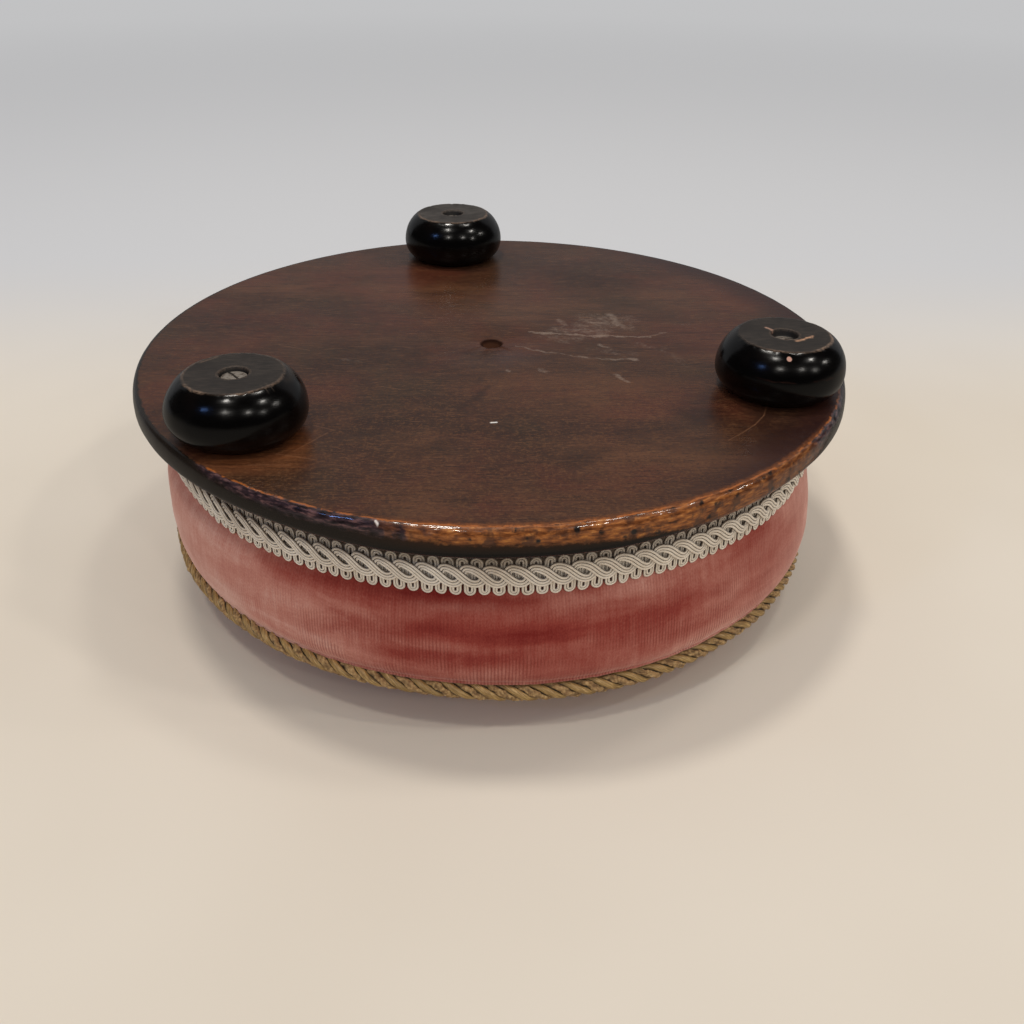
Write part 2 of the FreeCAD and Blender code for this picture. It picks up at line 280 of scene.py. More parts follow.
class Paint(Nodes):
    """One procedural material. Tones are the 0 to 255 values of screen colours."""

    def __init__(self, name, **constants):
        self.material = bpy.data.materials.new(name)
        super().__init__(self.material)
        coordinates = self.tree.nodes.new("ShaderNodeTexCoord")
        self.place = coordinates.outputs["Object"]
        self.uv = coordinates.outputs["UV"]
        self.base = None
        self.use(**constants)

    def use(self, **sockets):
        """Sets or links inputs of the shader and returns the material."""
        shader = self.tree.nodes["Principled BSDF"]
        for key, value in sockets.items():
            self.feed(shader.inputs[key.replace("_", " ")], value)
        return self.material

    def value(self, name):
        """A number that the mesh holds at each of its points."""
        return self.node("ShaderNodeAttribute", {}, "Fac", attribute_name=name)

    def axes(self, vector):
        made = self.node("ShaderNodeSeparateXYZ", {0: vector}).node
        return made.outputs[0], made.outputs[1], made.outputs[2]

    def math(self, operation, first, *others):
        """One value from several, taken two at a time, or from one alone."""
        for other in others or (0.0,):
            first = self.node("ShaderNodeMath", {0: first, 1: other}, operation=operation)
        return first

    def times(self, *values):
        return self.math("MULTIPLY", *values) if len(values) > 1 else values[0]

    def plus(self, *values):
        return self.math("ADD", *values)

    def minus(self, first, second):
        return self.math("SUBTRACT", first, second)

    def gap(self, first, second):
        return self.math("ABSOLUTE", self.minus(first, second))

    def swing(self, value, gain):
        """How far a noise is from its middle, times a gain."""
        return self.times(self.minus(value, 0.5), gain)

    def vector(self, operation, first, second=(0, 0, 0), output=0):
        return self.node("ShaderNodeVectorMath", {0: first, 1: second}, output, operation=operation)

    def stretch(self, vector, scale):
        return self.vector("MULTIPLY", vector, scale)

    def shift(self, vector, offset):
        return self.vector("ADD", vector, offset)

    def scaled(self, vector, share):
        return self.node("ShaderNodeVectorMath", {0: vector, "Scale": share}, operation="SCALE")

    def dot(self, vector, other):
        return self.vector("DOT_PRODUCT", vector, other, "Value")

    def length(self, vector):
        return self.vector("LENGTH", vector, output="Value")

    def noise(self, vector, scale, detail=3.0, roughness=0.55, distortion=0.0, output="Fac"):
        """Soft noise, stretched where its scale has three numbers."""
        if isinstance(scale, tuple):
            vector, scale = self.stretch(vector, scale), 1.0
        return self.node("ShaderNodeTexNoise", {
            "Vector": vector, "Scale": scale, "Detail": detail,
            "Roughness": roughness, "Distortion": distortion,
        }, output)

    def fade(self, share, a, b):
        """A number between a and b."""
        return self.node("ShaderNodeMix", {0: share, 2: a, 3: b})

    def mix(self, share, a, b):
        """A colour between a and b, which are sockets or tones."""
        made = self.node("ShaderNodeMix", {"Factor": share}, data_type="RGBA").node
        for key, tone in ((6, a), (7, b)):
            self.feed(made.inputs[key], colour(*tone) if isinstance(tone, tuple) else tone)
        return made.outputs[2]

    def coat(self, tone, *shares):
        """Lays a tone over the base colour, as far as the product of its shares."""
        self.base = self.mix(self.times(*shares), self.base, tone)

    def ramp(self, value, *stops):
        """Tones along a value, each given after its position."""
        made = self.node("ShaderNodeValToRGB", {0: value}).node
        elements = made.color_ramp.elements
        while len(elements) < len(stops):
            elements.new(0.5)
        for element, (position, *tone) in zip(elements, stops):
            element.position = position
            element.color = colour(*tone)
        return made.outputs[0]

    def bump(self, height, distance, strength):
        return self.node("ShaderNodeBump", {"Height": height, "Distance": distance, "Strength": strength})

    def stroke(self, vector, x0, y0, x1, y1, width):
        """1 on a line, falling to 0 at width beside it; all in millimetres, in x and y."""
        origin = Vector((x0 * MM, y0 * MM, 0))
        run = Vector((x1 * MM, y1 * MM, 0)) - origin
        offset = self.shift(self.stretch(vector, (1, 1, 0)), tuple(-origin))
        share = self.math("DIVIDE", self.dot(offset, tuple(run)), run.length_squared)
        share = self.node("ShaderNodeClamp", {"Value": share})
        aside = self.vector("DISTANCE", offset, self.scaled(tuple(run), share), "Value")
        return self.between(aside, 0.0, width * MM, 1.0, 0.0)

    def outer_side(self):
        """1 along the outer side of a tube and -1 along its inner side."""
        return self.math("COSINE", self.times(self.axes(self.uv)[0], TURN))


# Board: stained wood with a worn, ebonised edge

EDGE_ROUND = 6.0 * MM
EDGE_INSET = 2.6 * MM
UNDER_ROUND = 3.0 * MM
LATHE_HOLE = 3.6 * MM
LATHE_DEPTH = 3.0 * MM
BOARD_STEPS = 900
# How far the rim's inner face is worn up, in millimetres, round the board in degrees
UNDER_RISE = (
    (-165, 2.6), (-150, 2.8), (-135, 2.7), (-122, 2.3), (-112, 1.5), (-104, 0.6), (-96, 0.1),
    (-74, 0.1), (-62, 1.3), (-50, 2.5), (-40, 3.0), (-20, 2.6), (0, 1.4), (60, 1.0), (120, 1.4),
)
# Degrees round the edge, how far the wear reaches below the sole in millimetres, and how much
# of the worn wood is bare amber and not smoky purple
EDGE_WEAR = (
    (-136, 0.0, 0.0), (-128, 1.8, 0.0), (-118, 3.2, 0.0), (-110, 3.9, 0.14), (-104, 4.3, 0.38),
    (-98, 4.7, 0.66), (-92, 5.1, 0.92), (-84, 5.5, 1.0), (-76, 6.5, 1.0), (-68, 7.6, 1.0),
    (-60, 8.8, 1.0), (-52, 9.6, 1.0), (-45, 9.2, 0.9), (-40, 7.0, 0.7), (-36, 4.5, 0.5),
    (-32, 2.0, 0.3), (-22, 0.9, 0.1), (-12, 0.0, 0.0),
)


def board_profile():
    """From the middle of the sole over the edge to the middle of the inner face."""
    rim = BOARD_RADIUS - EDGE_INSET
    flat = rim - 6 * MM
    points = [(0, BOARD_TOP - LATHE_DEPTH), (LATHE_HOLE * 0.7, BOARD_TOP - LATHE_DEPTH)]
    points += [(LATHE_HOLE, BOARD_TOP - 1.0 * MM), (LATHE_HOLE + 1.0 * MM, BOARD_TOP - 0.3 * MM)]
    points += [(LATHE_HOLE + 1.9 * MM, BOARD_TOP)]
    points += spread(points[-1], (flat, BOARD_TOP), 10)[1:]
    points += spread((flat, BOARD_TOP), (rim, BOARD_TOP), 8)[:-1]
    points += arc((rim, BOARD_TOP - EDGE_ROUND), (EDGE_INSET, EDGE_ROUND), 90, 0, 16)
    under = (BOARD_RADIUS - UNDER_ROUND, BOARD_LOW + UNDER_ROUND)
    points += arc(under, (UNDER_ROUND, UNDER_ROUND), 0, -90, 10)
    points += [(BOARD_RADIUS * 0.9, BOARD_LOW), (0, BOARD_LOW)]
    return np.array(points)


def make_board():
    profile = board_profile()
    turns = angles(BOARD_STEPS)
    points = turned_points(profile, turns)
    here = np.degrees((turns + math.pi) % TURN - math.pi)
    degrees, reach, bare = np.array(EDGE_WEAR).T
    reach, bare = np.interp(here, degrees, reach) * MM, np.interp(here, degrees, bare)
    radius = np.hypot(points[..., 0], points[..., 1])
    edge = smooth_step(BOARD_RADIUS - 5 * MM, BOARD_RADIUS - 2 * MM, radius)
    depth = BOARD_TOP - points[..., 2]
    worn = edge * smooth_step(-1.2 * MM, 0.4 * MM, reach[None, :] - depth) * (reach[None, :] > 0)
    dents = rough_at(points, 5.5, 3.1)
    chips = rough_at(points, 1.7, 9.7)
    sunk = worn * (0.16 * MM * (1 + dents) + 0.20 * MM * np.clip(chips, 0, 1))
    sunk += edge * 0.05 * MM * (1 + dents)
    outward = points * (1, 1, 0) / np.maximum(radius, 1e-6)[..., None]
    rise = smooth_step(BOARD_TOP - EDGE_ROUND, BOARD_TOP, points[..., 2])[..., None]
    inward = outward * (1 - 0.6 * rise) + np.array([0, 0, 1]) * 0.6 * rise
    points = points - inward * sunk[..., None]
    lip = smooth_step(BOARD_RADIUS - 11 * MM, BOARD_RADIUS - 2 * MM, radius)
    lip *= smooth_step(5 * MM, 10 * MM, depth)
    degrees, rise = np.array(UNDER_RISE).T
    points[..., 2] += lip * np.interp(here, degrees, rise, period=360)[None, :] * MM
    hole = (1 - smooth_step(4.5 * MM, 6.5 * MM, radius)) * (points[..., 2] > BOARD_TOP - 6 * MM)
    ragged = 1 + 0.16 * rough(points[..., 0] / MM / 2.2, points[..., 1] / MM / 2.2, 0.0, 5.2)
    points[..., :2] *= (1 + hole * (ragged - 1))[..., None]
    sheet = grid(points, np.linspace(0, 1, BOARD_STEPS + 1), along(profile))
    board = mesh_object("turned_board", *sheet)
    give_field(board, "wear_reach", np.tile(reach, len(profile)))
    give_field(board, "bare_share", np.tile(bare, len(profile)))
    clean(board)
    finish_piece(board, board_paint(), "board_wood", "base_board")


# Marks on the sole: start and end in millimetres from the axis, half width, and strength
PALE_MARKS = (
    (16, 13.2, 37, 10.0, 1.0, 0.75), (37, 10.0, 66, 7.8, 1.0, 0.75), (66, 7.8, 79, 13.0, 0.9, 0.40),
    (23, 12.0, 27, 11.6, 2.2, 0.75), (46, 9.6, 51, 9.4, 3.0, 0.75), (66, 7.8, 70, 8.0, 1.6, 0.70),
    (30, 16.5, 50, 14.5, 6.5, 0.42), (26, 6.6, 40, 5.6, 5.5, 0.34), (22, 7.5, 33, 1.5, 4.0, 0.28),
    (45, 25.5, 52, 24.0, 3.2, 0.62), (55, 35, 57.2, 22, 3.0, 0.66), (57, 25, 60, 21, 4.0, 0.55),
    (44, 30, 62, 29, 9.0, 0.36), (40, 22, 62, 20, 6.5, 0.36), (31, 27.5, 34.4, 22, 2.6, 0.50),
    (11, -3.6, 23, -9.2, 1.0, 0.62), (23, -9.2, 46, -16.4, 0.9, 0.50), (46, -16.4, 60, -17, 1.1, 0.62),
    (37, -13.6, 40.5, -15, 2.2, 0.60), (57, -16.6, 61, -17.2, 2.0, 0.62),
    (47.6, -1, 50, -3.8, 1.8, 0.60), (50, -4, 54, -11, 3.2, 0.30), (44, -6, 60, -12, 6.0, 0.22),
    (50.9, -31.8, 54.6, -40.2, 1.4, 0.62), (6.0, -27.8, 6.8, -28.4, 1.4, 0.55),
    (20, -27.0, 23, -29.2, 2.0, 0.50), (64, 0, 74, -8, 3.4, 0.26), (74, -4, 81, -24, 5.0, 0.20),
    (-63, -18, -56, -20, 2.0, 0.25), (84, 24, 92, 20, 5.0, 0.18),
)
SCRATCHES = (
    (106.4, -61.9, 103.6, -69.6, 0.45, 0.50), (103.6, -69.6, 98.6, -77.2, 0.45, 0.50),
    (98.6, -77.2, 92.6, -83.6, 0.45, 0.45), (92.6, -83.6, 86.1, -89.7, 0.40, 0.35),
    (84, -40, 91, -44, 0.5, 0.22), (-44, -44, -36, -47, 0.5, 0.2), (-92, -2, -78, -8, 0.5, 0.22),
    (-60, -16, -52, -18, 0.5, 0.2), (-84, -95, -72, -90, 0.5, 0.35), (-70, -98, -60, -84, 0.5, 0.30),
    (-76, -100, -62, -104, 0.5, 0.35), (-66, -78, -58, -82, 0.6, 0.28), (-84, -108, -70, -108, 0.5, 0.3),
)
# Dark marks on the sole, in the same columns; those in front of the right foot, about x 84 to 124 mm and y
# -70 to -88 mm, are painted shade and a painted reflection of that foot
DARK_MARKS_AND_FOOT_SHADE = (
    (-10.5, -62, -3.5, -51, 3.4, 0.55), (-5, -50, -1, -44, 2.6, 0.45), (-6, -41, -4, -34, 2.4, 0.35),
    (28, -105, 40, -98, 7.0, 0.50), (-26, -97, -14, -92, 7.0, 0.35), (-20, -34, 4, -33, 2.4, 0.25),
    (72, -92, 100, -96, 16.0, 0.50), (50, -84, 66, -80, 12.0, 0.35), (84, -70, 124, -72, 22.0, 0.75),
    (98, -88, 118, -80, 16.0, 0.60), (78, -66, 84, -56, 14.0, 0.45),
    (-36, 60, -20, 62, 5.0, 0.25), (60, 46, 84, 34, 14.0, 0.35), (-52, -86, -40, -84, 6.0, 0.3),
)
# These have no strength of their own
WARM_MARKS = ((-94, -108, -72, -104, 14), (-70, -98, -70, -78, 9))
FLECK = (-0.1, -75.7, 1.8, -75.5, 0.8)
CHIP = (-36.8, -143.4, -36.1, -144.2, 0.6)


def board_paint():
    paint = Paint("stained_board", IOR=1.5)
    place = paint.place
    x, y, z = paint.axes(place)
    radius = paint.length(paint.stretch(place, (1, 1, 0)))
    depth = paint.minus(BOARD_TOP, z)
    reach, bare_share = paint.value("wear_reach"), paint.value("bare_share")
    broad = paint.noise(place, (7, 26, 9), 4, 0.55, 0.5)
    fibre = paint.noise(place, (60, 900, 300), 3, 0.6)
    pores = paint.noise(place, (200, 2200, 300), 2, 0.5)
    clouds = paint.noise(place, 15.0, 4, 0.6)
    blotches = paint.noise(paint.shift(place, (0.7, 0.2, 0)), 42.0, 4, 0.6)
    ruddy = paint.noise(paint.shift(place, (0.3, 0.9, 0)), 26.0, 4, 0.55)
    grit = paint.noise(place, (850, 1150, 300), 3, 0.65)
    crumble = paint.noise(place, (420, 560, 300), 5, 0.8)
    patches = paint.noise(place, 170.0, 4, 0.6)
    wander = paint.swing(paint.noise(place, 260.0, 4, 0.65), 2.4 * MM)
    outline = paint.plus(radius, wander)

    # The sole: stained wood and its marks
    paint.base = paint.ramp(
        broad, (0.32, 50, 29, 20), (0.48, 63, 38, 25), (0.60, 74, 45, 29), (0.76, 89, 56, 36),
    )
    paint.coat((42, 23, 16), (clouds, 0.46, 0.70, 0.0, 0.6))
    paint.coat((90, 56, 37), (blotches, 0.50, 0.72, 0.0, 0.35))
    paint.coat((84, 38, 26), (ruddy, 0.46, 0.66, 0.0, 0.42))
    paint.coat((55, 42, 27), (ruddy, 0.46, 0.32, 0.0, 0.40))
    paint.coat((34, 19, 14), (fibre, 0.50, 0.70, 0.0, 0.50))
    paint.coat((114, 78, 52), (pores, 0.55, 0.72, 0.0, 0.42))
    front = paint.fade((y, 10 * MM, -90 * MM), 0.35, 1.0)
    paint.coat((100, 68, 44), (grit, 0.50, 0.66, 0.0, 0.55), front)
    paint.coat((38, 23, 15), (grit, 0.46, 0.32, 0.0, 0.55), front)
    warm = paint.math("MAXIMUM", *[paint.stroke(place, *mark) for mark in WARM_MARKS])
    paint.coat((122, 70, 38), warm, (fibre, 0.35, 0.6, 1.0, 0.5), 0.5)
    drift = paint.noise(place, 150.0, 3, 0.5, output="Color")
    drift = paint.scaled(paint.vector("SUBTRACT", drift, (0.5, 0.5, 0.5)), 6 * MM)
    smeared = paint.shift(place, drift)
    chalk = 0.0
    for *mark, width, strength in PALE_MARKS:
        stroke = paint.times(paint.stroke(smeared, *mark, 1.3 * width), strength)
        chalk = paint.math("MAXIMUM", stroke, chalk)
    chalk = paint.plus(chalk, paint.times(paint.swing(crumble, 1.9), (chalk, 0.0, 0.25)))
    chalk = paint.between(chalk, 0.10, 0.95, 0.0, 0.5)
    paint.coat((150, 132, 118), chalk)
    # Dark marks, and painted shade and reflection in front of the right foot
    for *mark, strength in DARK_MARKS_AND_FOOT_SHADE:
        paint.coat((36, 21, 16), paint.stroke(place, *mark), (blotches, 0.38, 0.6, 0.2, strength))
    for *mark, strength in SCRATCHES:
        paint.coat((140, 98, 70), paint.stroke(place, *mark), (crumble, 0.35, 0.6, 0.3, strength), 0.75)
    paint.coat((225, 222, 215), paint.stroke(place, *FLECK))
    # The lathe hole is painted dark, darker where it is deeper: painted shade in the hollow
    pit = paint.between(paint.plus(radius, paint.times(blotches, 1.5 * MM)), 6.4 * MM, 5.0 * MM)
    paint.coat(paint.mix((depth, 0.4 * MM, 1.6 * MM), (26, 14, 10), (58, 36, 25)), pit, 0.9)
    paint.coat((40, 19, 19), (radius, 126 * MM, 145 * MM, 0.0, 0.7), (x, 40 * MM, 100 * MM))
    paint.coat(
        (120, 68, 32), (outline, BOARD_RADIUS - 5.2 * MM, BOARD_RADIUS - 3.2 * MM, 0.0, 0.8),
        (bare_share, 0.1, 0.7), (grit, 0.34, 0.62, 0.45, 1.0),
    )

    # The edge: black lacquer, rubbed through to smoky purple and then to amber wood
    on_edge = paint.between(outline, BOARD_RADIUS - 3.4 * MM, BOARD_RADIUS - 2.4 * MM)
    rubbed = paint.times((depth, 5.5 * MM, 9.0 * MM, 0.8, 0.0), (bare_share, 0.1, 0.8))
    # The black strip darkens towards the board's underside: painted shade where the edge turns under
    strip = paint.mix((depth, 8.4 * MM, 9.8 * MM), (31, 25, 20), (9, 8, 7))
    paint.coat(paint.mix(rubbed, strip, (50, 31, 19)), on_edge)
    left_over = paint.minus(paint.plus(reach, wander), depth)
    left_over = paint.plus(left_over, paint.swing(paint.noise(place, 420.0, 4, 0.7), 2.0 * MM))
    worn = paint.times((left_over, -1.3 * MM, 1.1 * MM), on_edge, (reach, 0.1 * MM, 0.9 * MM))
    edge_uv = paint.stretch(paint.uv, (TURN * BOARD_RADIUS, 1, 1))
    mottle = paint.noise(edge_uv, (230, 820, 1), 4, 0.55, 0.3)
    smoky = paint.ramp(mottle, (0.36, 24, 16, 19), (0.52, 52, 35, 40), (0.66, 104, 72, 70))
    upper = paint.ramp(
        mottle, (0.30, 74, 38, 16), (0.45, 118, 65, 26), (0.58, 156, 92, 38), (0.74, 196, 134, 70),
    )
    lower = paint.ramp(
        mottle, (0.30, 62, 31, 11), (0.44, 116, 62, 20), (0.58, 156, 90, 29), (0.74, 190, 124, 50),
    )
    amber = paint.mix((paint.plus(depth, wander), 2.6 * MM, 4.2 * MM), upper, lower)
    amber = paint.mix((patches, 0.47, 0.62, 0.0, 0.8), amber, (66, 36, 20))
    cells = paint.node("ShaderNodeTexVoronoi", {"Vector": place, "Scale": 210.0}, "Distance")
    amber = paint.mix(paint.times((cells, 0.30, 0.14), (patches, 0.44, 0.56)), amber, (26, 15, 11))
    amber = paint.mix((x, 60 * MM, 115 * MM, 0.0, 0.45), amber, (52, 26, 12))
    bare = paint.plus(bare_share, paint.swing(patches, 1.4))
    paint.coat(paint.mix((bare, 0.3, 0.7), smoky, amber), worn)
    arris = paint.gap(outline, BOARD_RADIUS - 2.9 * MM)
    paint.coat(
        (176, 100, 42), (arris, 0.15 * MM, 0.65 * MM, 1.0, 0.0), (reach, 0.2 * MM, 1.2 * MM),
        (patches, 0.42, 0.54), 0.65,
    )
    paint.coat((222, 212, 205), paint.stroke(place, *CHIP), (depth, 2.6 * MM, 1.6 * MM))

    gloss = paint.fade(on_edge, (clouds, 0.3, 0.7, 0.24, 0.34), 0.24)
    gloss = paint.fade(worn, gloss, (mottle, 0.3, 0.7, 0.3, 0.5))
    gloss = paint.fade(pit, paint.fade(chalk, gloss, 0.7), 0.95)
    mirror = paint.fade(on_edge, (grit, 0.35, 0.65, 0.37, 0.24), 0.30)
    height = paint.plus(
        paint.times(fibre, paint.fade(on_edge, 0.35, 0.0)),
        paint.times(mottle, paint.fade(worn, 0.0, 0.8)), paint.times(broad, 0.4),
    )
    return paint.use(
        Base_Color=paint.base, Roughness=gloss, Normal=paint.bump(height, 0.00016, 0.5),
        Specular_IOR_Level=paint.fade(pit, mirror, 0.02),
        Coat_Weight=paint.times(worn, (mottle, 0.34, 0.48, 0.45, 1.0)), Coat_Roughness=0.09,
        Coat_Normal=paint.bump(paint.noise(place, 240.0, 2, 0.5), 0.00012, 0.5),
    )


# Bun feet and their screws

ARRIS = 18.0 * MM
SHOULDER_CENTRE = 12.0 * MM
WIDEST = 9.2 * MM
NECK = 16.9 * MM
COUNTERBORE = 5.3 * MM
COUNTERBORE_DEPTH = 2.8 * MM
FOOT_STEPS = 192
SLOT_DEGREES = {"left": 127.6, "right": 24.0, "back": 78.0}
HEAD_RADIUS = 4.6 * MM
HEAD_RINGS = 5
HEAD_SINK = {"left": 1.3 * MM, "right": 2.6 * MM, "back": 2.4 * MM}
SLOT_WIDTH = 0.9 * MM
SLOT_DEPTH = 0.9 * MM
SHANK_STEPS = 40
# Radius and level of the shank, from the head down to its point
SHANK = (
    (HEAD_RADIUS, -SLOT_DEPTH), (2.3 * MM, -2.6 * MM), (2.3 * MM, -25 * MM), (0.3 * MM, -29 * MM),
)
BARE_CHIP = (176, 134, 104)
FAINT_SCRATCH = (96, 84, 74)
# Scratches and chips on the soles of the feet: start and end in millimetres from the foot's
# axis, half width, strength and tone
FOOT_MARKS = {
    "right": (
        (2.9, -7.0, 5.6, -5.6, 1.3, 0.9, BARE_CHIP), (5.6, -5.6, 10.4, -2.0, 0.9, 0.8, BARE_CHIP),
        (7.6, -3.6, 9.6, -3.6, 1.0, 0.8, BARE_CHIP), (-5.8, 6.6, -4.2, 4.2, 1.2, 0.8, (170, 132, 112)),
        (-4.4, 3.6, -3.0, 0.6, 0.9, 0.5, (150, 112, 92)), (-2.4, -5.4, 3.2, -5.9, 0.5, 0.5, (140, 116, 98)),
    ),
    "left": (
        (12.6, -8.4, 17.2, -12.6, 0.4, 0.3, FAINT_SCRATCH),
        (11.4, -10.4, 16.0, -14.6, 0.4, 0.26, FAINT_SCRATCH),
        (-14, 9, -9, 14, 1.2, 0.4, (120, 96, 78)),
    ),
    "back": (),
}
# Dark and light tone of each sole's wood
SOLE_TONES = {
    "left": ((34, 30, 27), (56, 48, 42)), "right": ((34, 30, 27), (56, 48, 42)),
    "back": ((46, 42, 39), (78, 72, 67)),
}
# A bare spot on the right foot's side: millimetres to the right of the axis and below the sole
SPOT_ASIDE = -3.0 * MM
SPOT_BELOW = 1.85 * MM
# Which way each arris is rubbed most, and how strongly on the far side
FOOT_RUBBED = {"left": (-0.35, -0.94, 0.35), "right": (0.72, -0.69, 0.15), "back": (0.0, -1.0, 0.45)}
# How much fuller each foot is at its left side
FULLER = {"left": 1.3 * MM, "right": 0.3 * MM, "back": 0.0}


def foot_profile():
    """From the middle of the counterbore out over the sole and the bun to its seat."""
    sole = FOOT_HEIGHT
    floor = sole - COUNTERBORE_DEPTH
    swell = FOOT_RADIUS - SHOULDER_CENTRE
    half_height = (sole - WIDEST) / math.sqrt(1 - ((ARRIS - SHOULDER_CENTRE) / swell) ** 2)
    arris_degrees = math.degrees(math.asin((sole - WIDEST) / half_height))
    mouth = (COUNTERBORE + 0.25 * MM, sole)
    points = [(0, floor), (COUNTERBORE - 0.5 * MM, floor), (COUNTERBORE - 0.1 * MM, floor + 0.4 * MM)]
    points += [(COUNTERBORE, sole - 0.3 * MM), mouth]
    points += spread(mouth, (ARRIS - 0.5 * MM, sole), 8)
    points += arc((SHOULDER_CENTRE, WIDEST), (swell, half_height), arris_degrees - 1.5, 0, 26)
    points += arc((NECK, WIDEST), (FOOT_RADIUS - NECK, WIDEST), 0, -90, 18)[1:]
    return np.array(points + [(0, 0)])


def make_foot(name):
    centre = centre_of("foot_" + name)
    profile = foot_profile()
    points = turned_points(profile, angles(FOOT_STEPS))
    seed = 5.0 * (1 + FEET.index(name))
    dents = rough_at(points, 6.0, seed)
    nicks = np.clip(rough_at(points, 2.2, seed + 1), 0, 1)
    radius = np.hypot(points[..., 0], points[..., 1])
    arris = bell((radius - ARRIS) / (1.3 * MM)) * (points[..., 2] > WIDEST)
    points[..., 2] -= arris * nicks * 0.35 * MM
    points[..., :2] *= (1 + 0.0025 * dents)[..., None]
    outer = np.clip(-points[..., 0] / FOOT_RADIUS, 0, 1) * smooth_step(0, WIDEST, points[..., 2])
    points[..., 0] -= FULLER[name] * outer * (1 - smooth_step(WIDEST, FOOT_HEIGHT, points[..., 2]))
    points += np.array([centre.x, centre.y, BOARD_TOP])
    sheet = grid(points, np.linspace(0, 1, FOOT_STEPS + 1), along(profile))
    foot = clean(mesh_object("bun_foot_" + name, *sheet))
    finish_piece(foot, ebony_paint(name, centre), "ebonised_wood", "foot_" + name)


def ebony_paint(name, centre):
    """Black lacquer, rubbed brown along the arris and matt on the sole."""
    paint = Paint("ebonised_" + name, IOR=1.46, Specular_IOR_Level=0.38)
    local = paint.shift(paint.place, (-centre.x, -centre.y, -FOOT_TOP))
    x, y, depth = paint.axes(local)
    radius = paint.length(paint.stretch(local, (1, 1, 0)))
    wander = paint.swing(paint.noise(local, 190.0, 4, 0.65), 1.6 * MM)
    spot = paint.plus(radius, wander)
    scatter = paint.noise(local, 1100.0, 3, 0.7)
    grain = paint.noise(local, (150, 1900, 150), 3, 0.6)
    clouds = paint.noise(local, 60.0, 3)
    rubs = paint.noise(local, (60, 60, 260), 4, 0.6)
    side = paint.noise(paint.shift(local, (0.3 * FEET.index(name), 0, 0)), 70.0, 2)
    east, north, least = FOOT_RUBBED[name]
    facing = paint.dot(local, (east, north, 0))

    sole = paint.mix((grain, 0.35, 0.65), *SOLE_TONES[name])
    sole = paint.mix((clouds, 0.42, 0.66, 0.0, 0.6), sole, (31, 26, 23))
    on_sole = paint.times(
        (spot, ARRIS - 0.6 * MM, ARRIS + 0.2 * MM, 1.0, 0.0), (depth, -6.0 * MM, -4.0 * MM),
    )
    paint.base = paint.mix((clouds, 0.48, 0.74, 0.0, 0.8), (4, 3, 3), (15, 9, 7))
    paint.coat(sole, on_sole)
    toward = paint.plus(paint.times(y, 40.0), side)
    scuffed = paint.times(
        (spot, ARRIS - 0.5 * MM, ARRIS + 1.2 * MM), (spot, ARRIS + 5.0 * MM, ARRIS + 1.5 * MM),
        (depth, -5.0 * MM, -2.0 * MM), (toward, 0.35, 1.1, 0.0, 0.75), (rubs, 0.30, 0.62, 0.4, 1.0),
    )
    paint.coat((70, 56, 45), scuffed)
    paint.coat(
        (118, 97, 81), (paint.gap(spot, ARRIS - 0.1 * MM), 0.1 * MM, 0.95 * MM, 1.0, 0.0),
        (side, 0.36, 0.56, 0.15, 1.0), (depth, -3.0 * MM, -2.0 * MM),
        (facing, -6 * MM, 12 * MM, least, 1.0), (scatter, 0.38, 0.58, 0.25, 0.95),
    )
    bore = paint.gap(spot, COUNTERBORE + 0.5 * MM)
    paint.coat((92, 74, 60), (bore, 0.1 * MM, 0.8 * MM, 0.5, 0.0), (scatter, 0.35, 0.6), on_sole)
    # Painted shade on the counterbore's floor round the screw
    floor = (depth, -1.3 * MM, -0.4 * MM, 1.0, 0.0)
    paint.coat((24, 20, 18), floor, (radius, 6.0 * MM, 6.5 * MM, 1.0, 0.0))
    for *mark, strength, tone in FOOT_MARKS[name]:
        broken = (scatter, 0.35, 0.55, 0.4 * strength, strength)
        paint.coat(tone, paint.stroke(local, *mark), broken, (depth, -2.0 * MM, -0.6 * MM))
    if name == "right":
        across = paint.minus(x, SPOT_ASIDE)
        down = paint.times(paint.plus(depth, SPOT_BELOW), 1.35)
        away = paint.math("SQRT", paint.plus(paint.times(across, across), paint.times(down, down)))
        paint.coat((188, 146, 130), (away, 1.1 * MM, 0.75 * MM), (y, -15 * MM, -16 * MM))
        level = WIDEST - FOOT_HEIGHT + 4.0 * MM
        belt = paint.math("ABSOLUTE", paint.plus(paint.minus(depth, level), wander))
        belt = (belt, 0.1 * MM, 0.5 * MM, 0.6, 0.0)
        paint.coat((66, 36, 27), belt, (rubs, 0.4, 0.55), (facing, 0.0, 14 * MM))
    gloss = paint.fade(scuffed, paint.fade(on_sole, (rubs, 0.3, 0.7, 0.15, 0.25), 0.6), 0.5)
    height = paint.plus(paint.times(grain, on_sole), paint.times(rubs, 0.5))
    return paint.use(Base_Color=paint.base, Roughness=gloss, Normal=paint.bump(height, 0.00014, 0.35))


def skin(work, rows):
    """Joins rows of vertices with quads."""
    for upper, lower in zip(rows[:-1], rows[1:]):
        for k in range(len(upper) - 1):
            work.faces.new((upper[k], upper[k + 1], lower[k + 1], lower[k]))


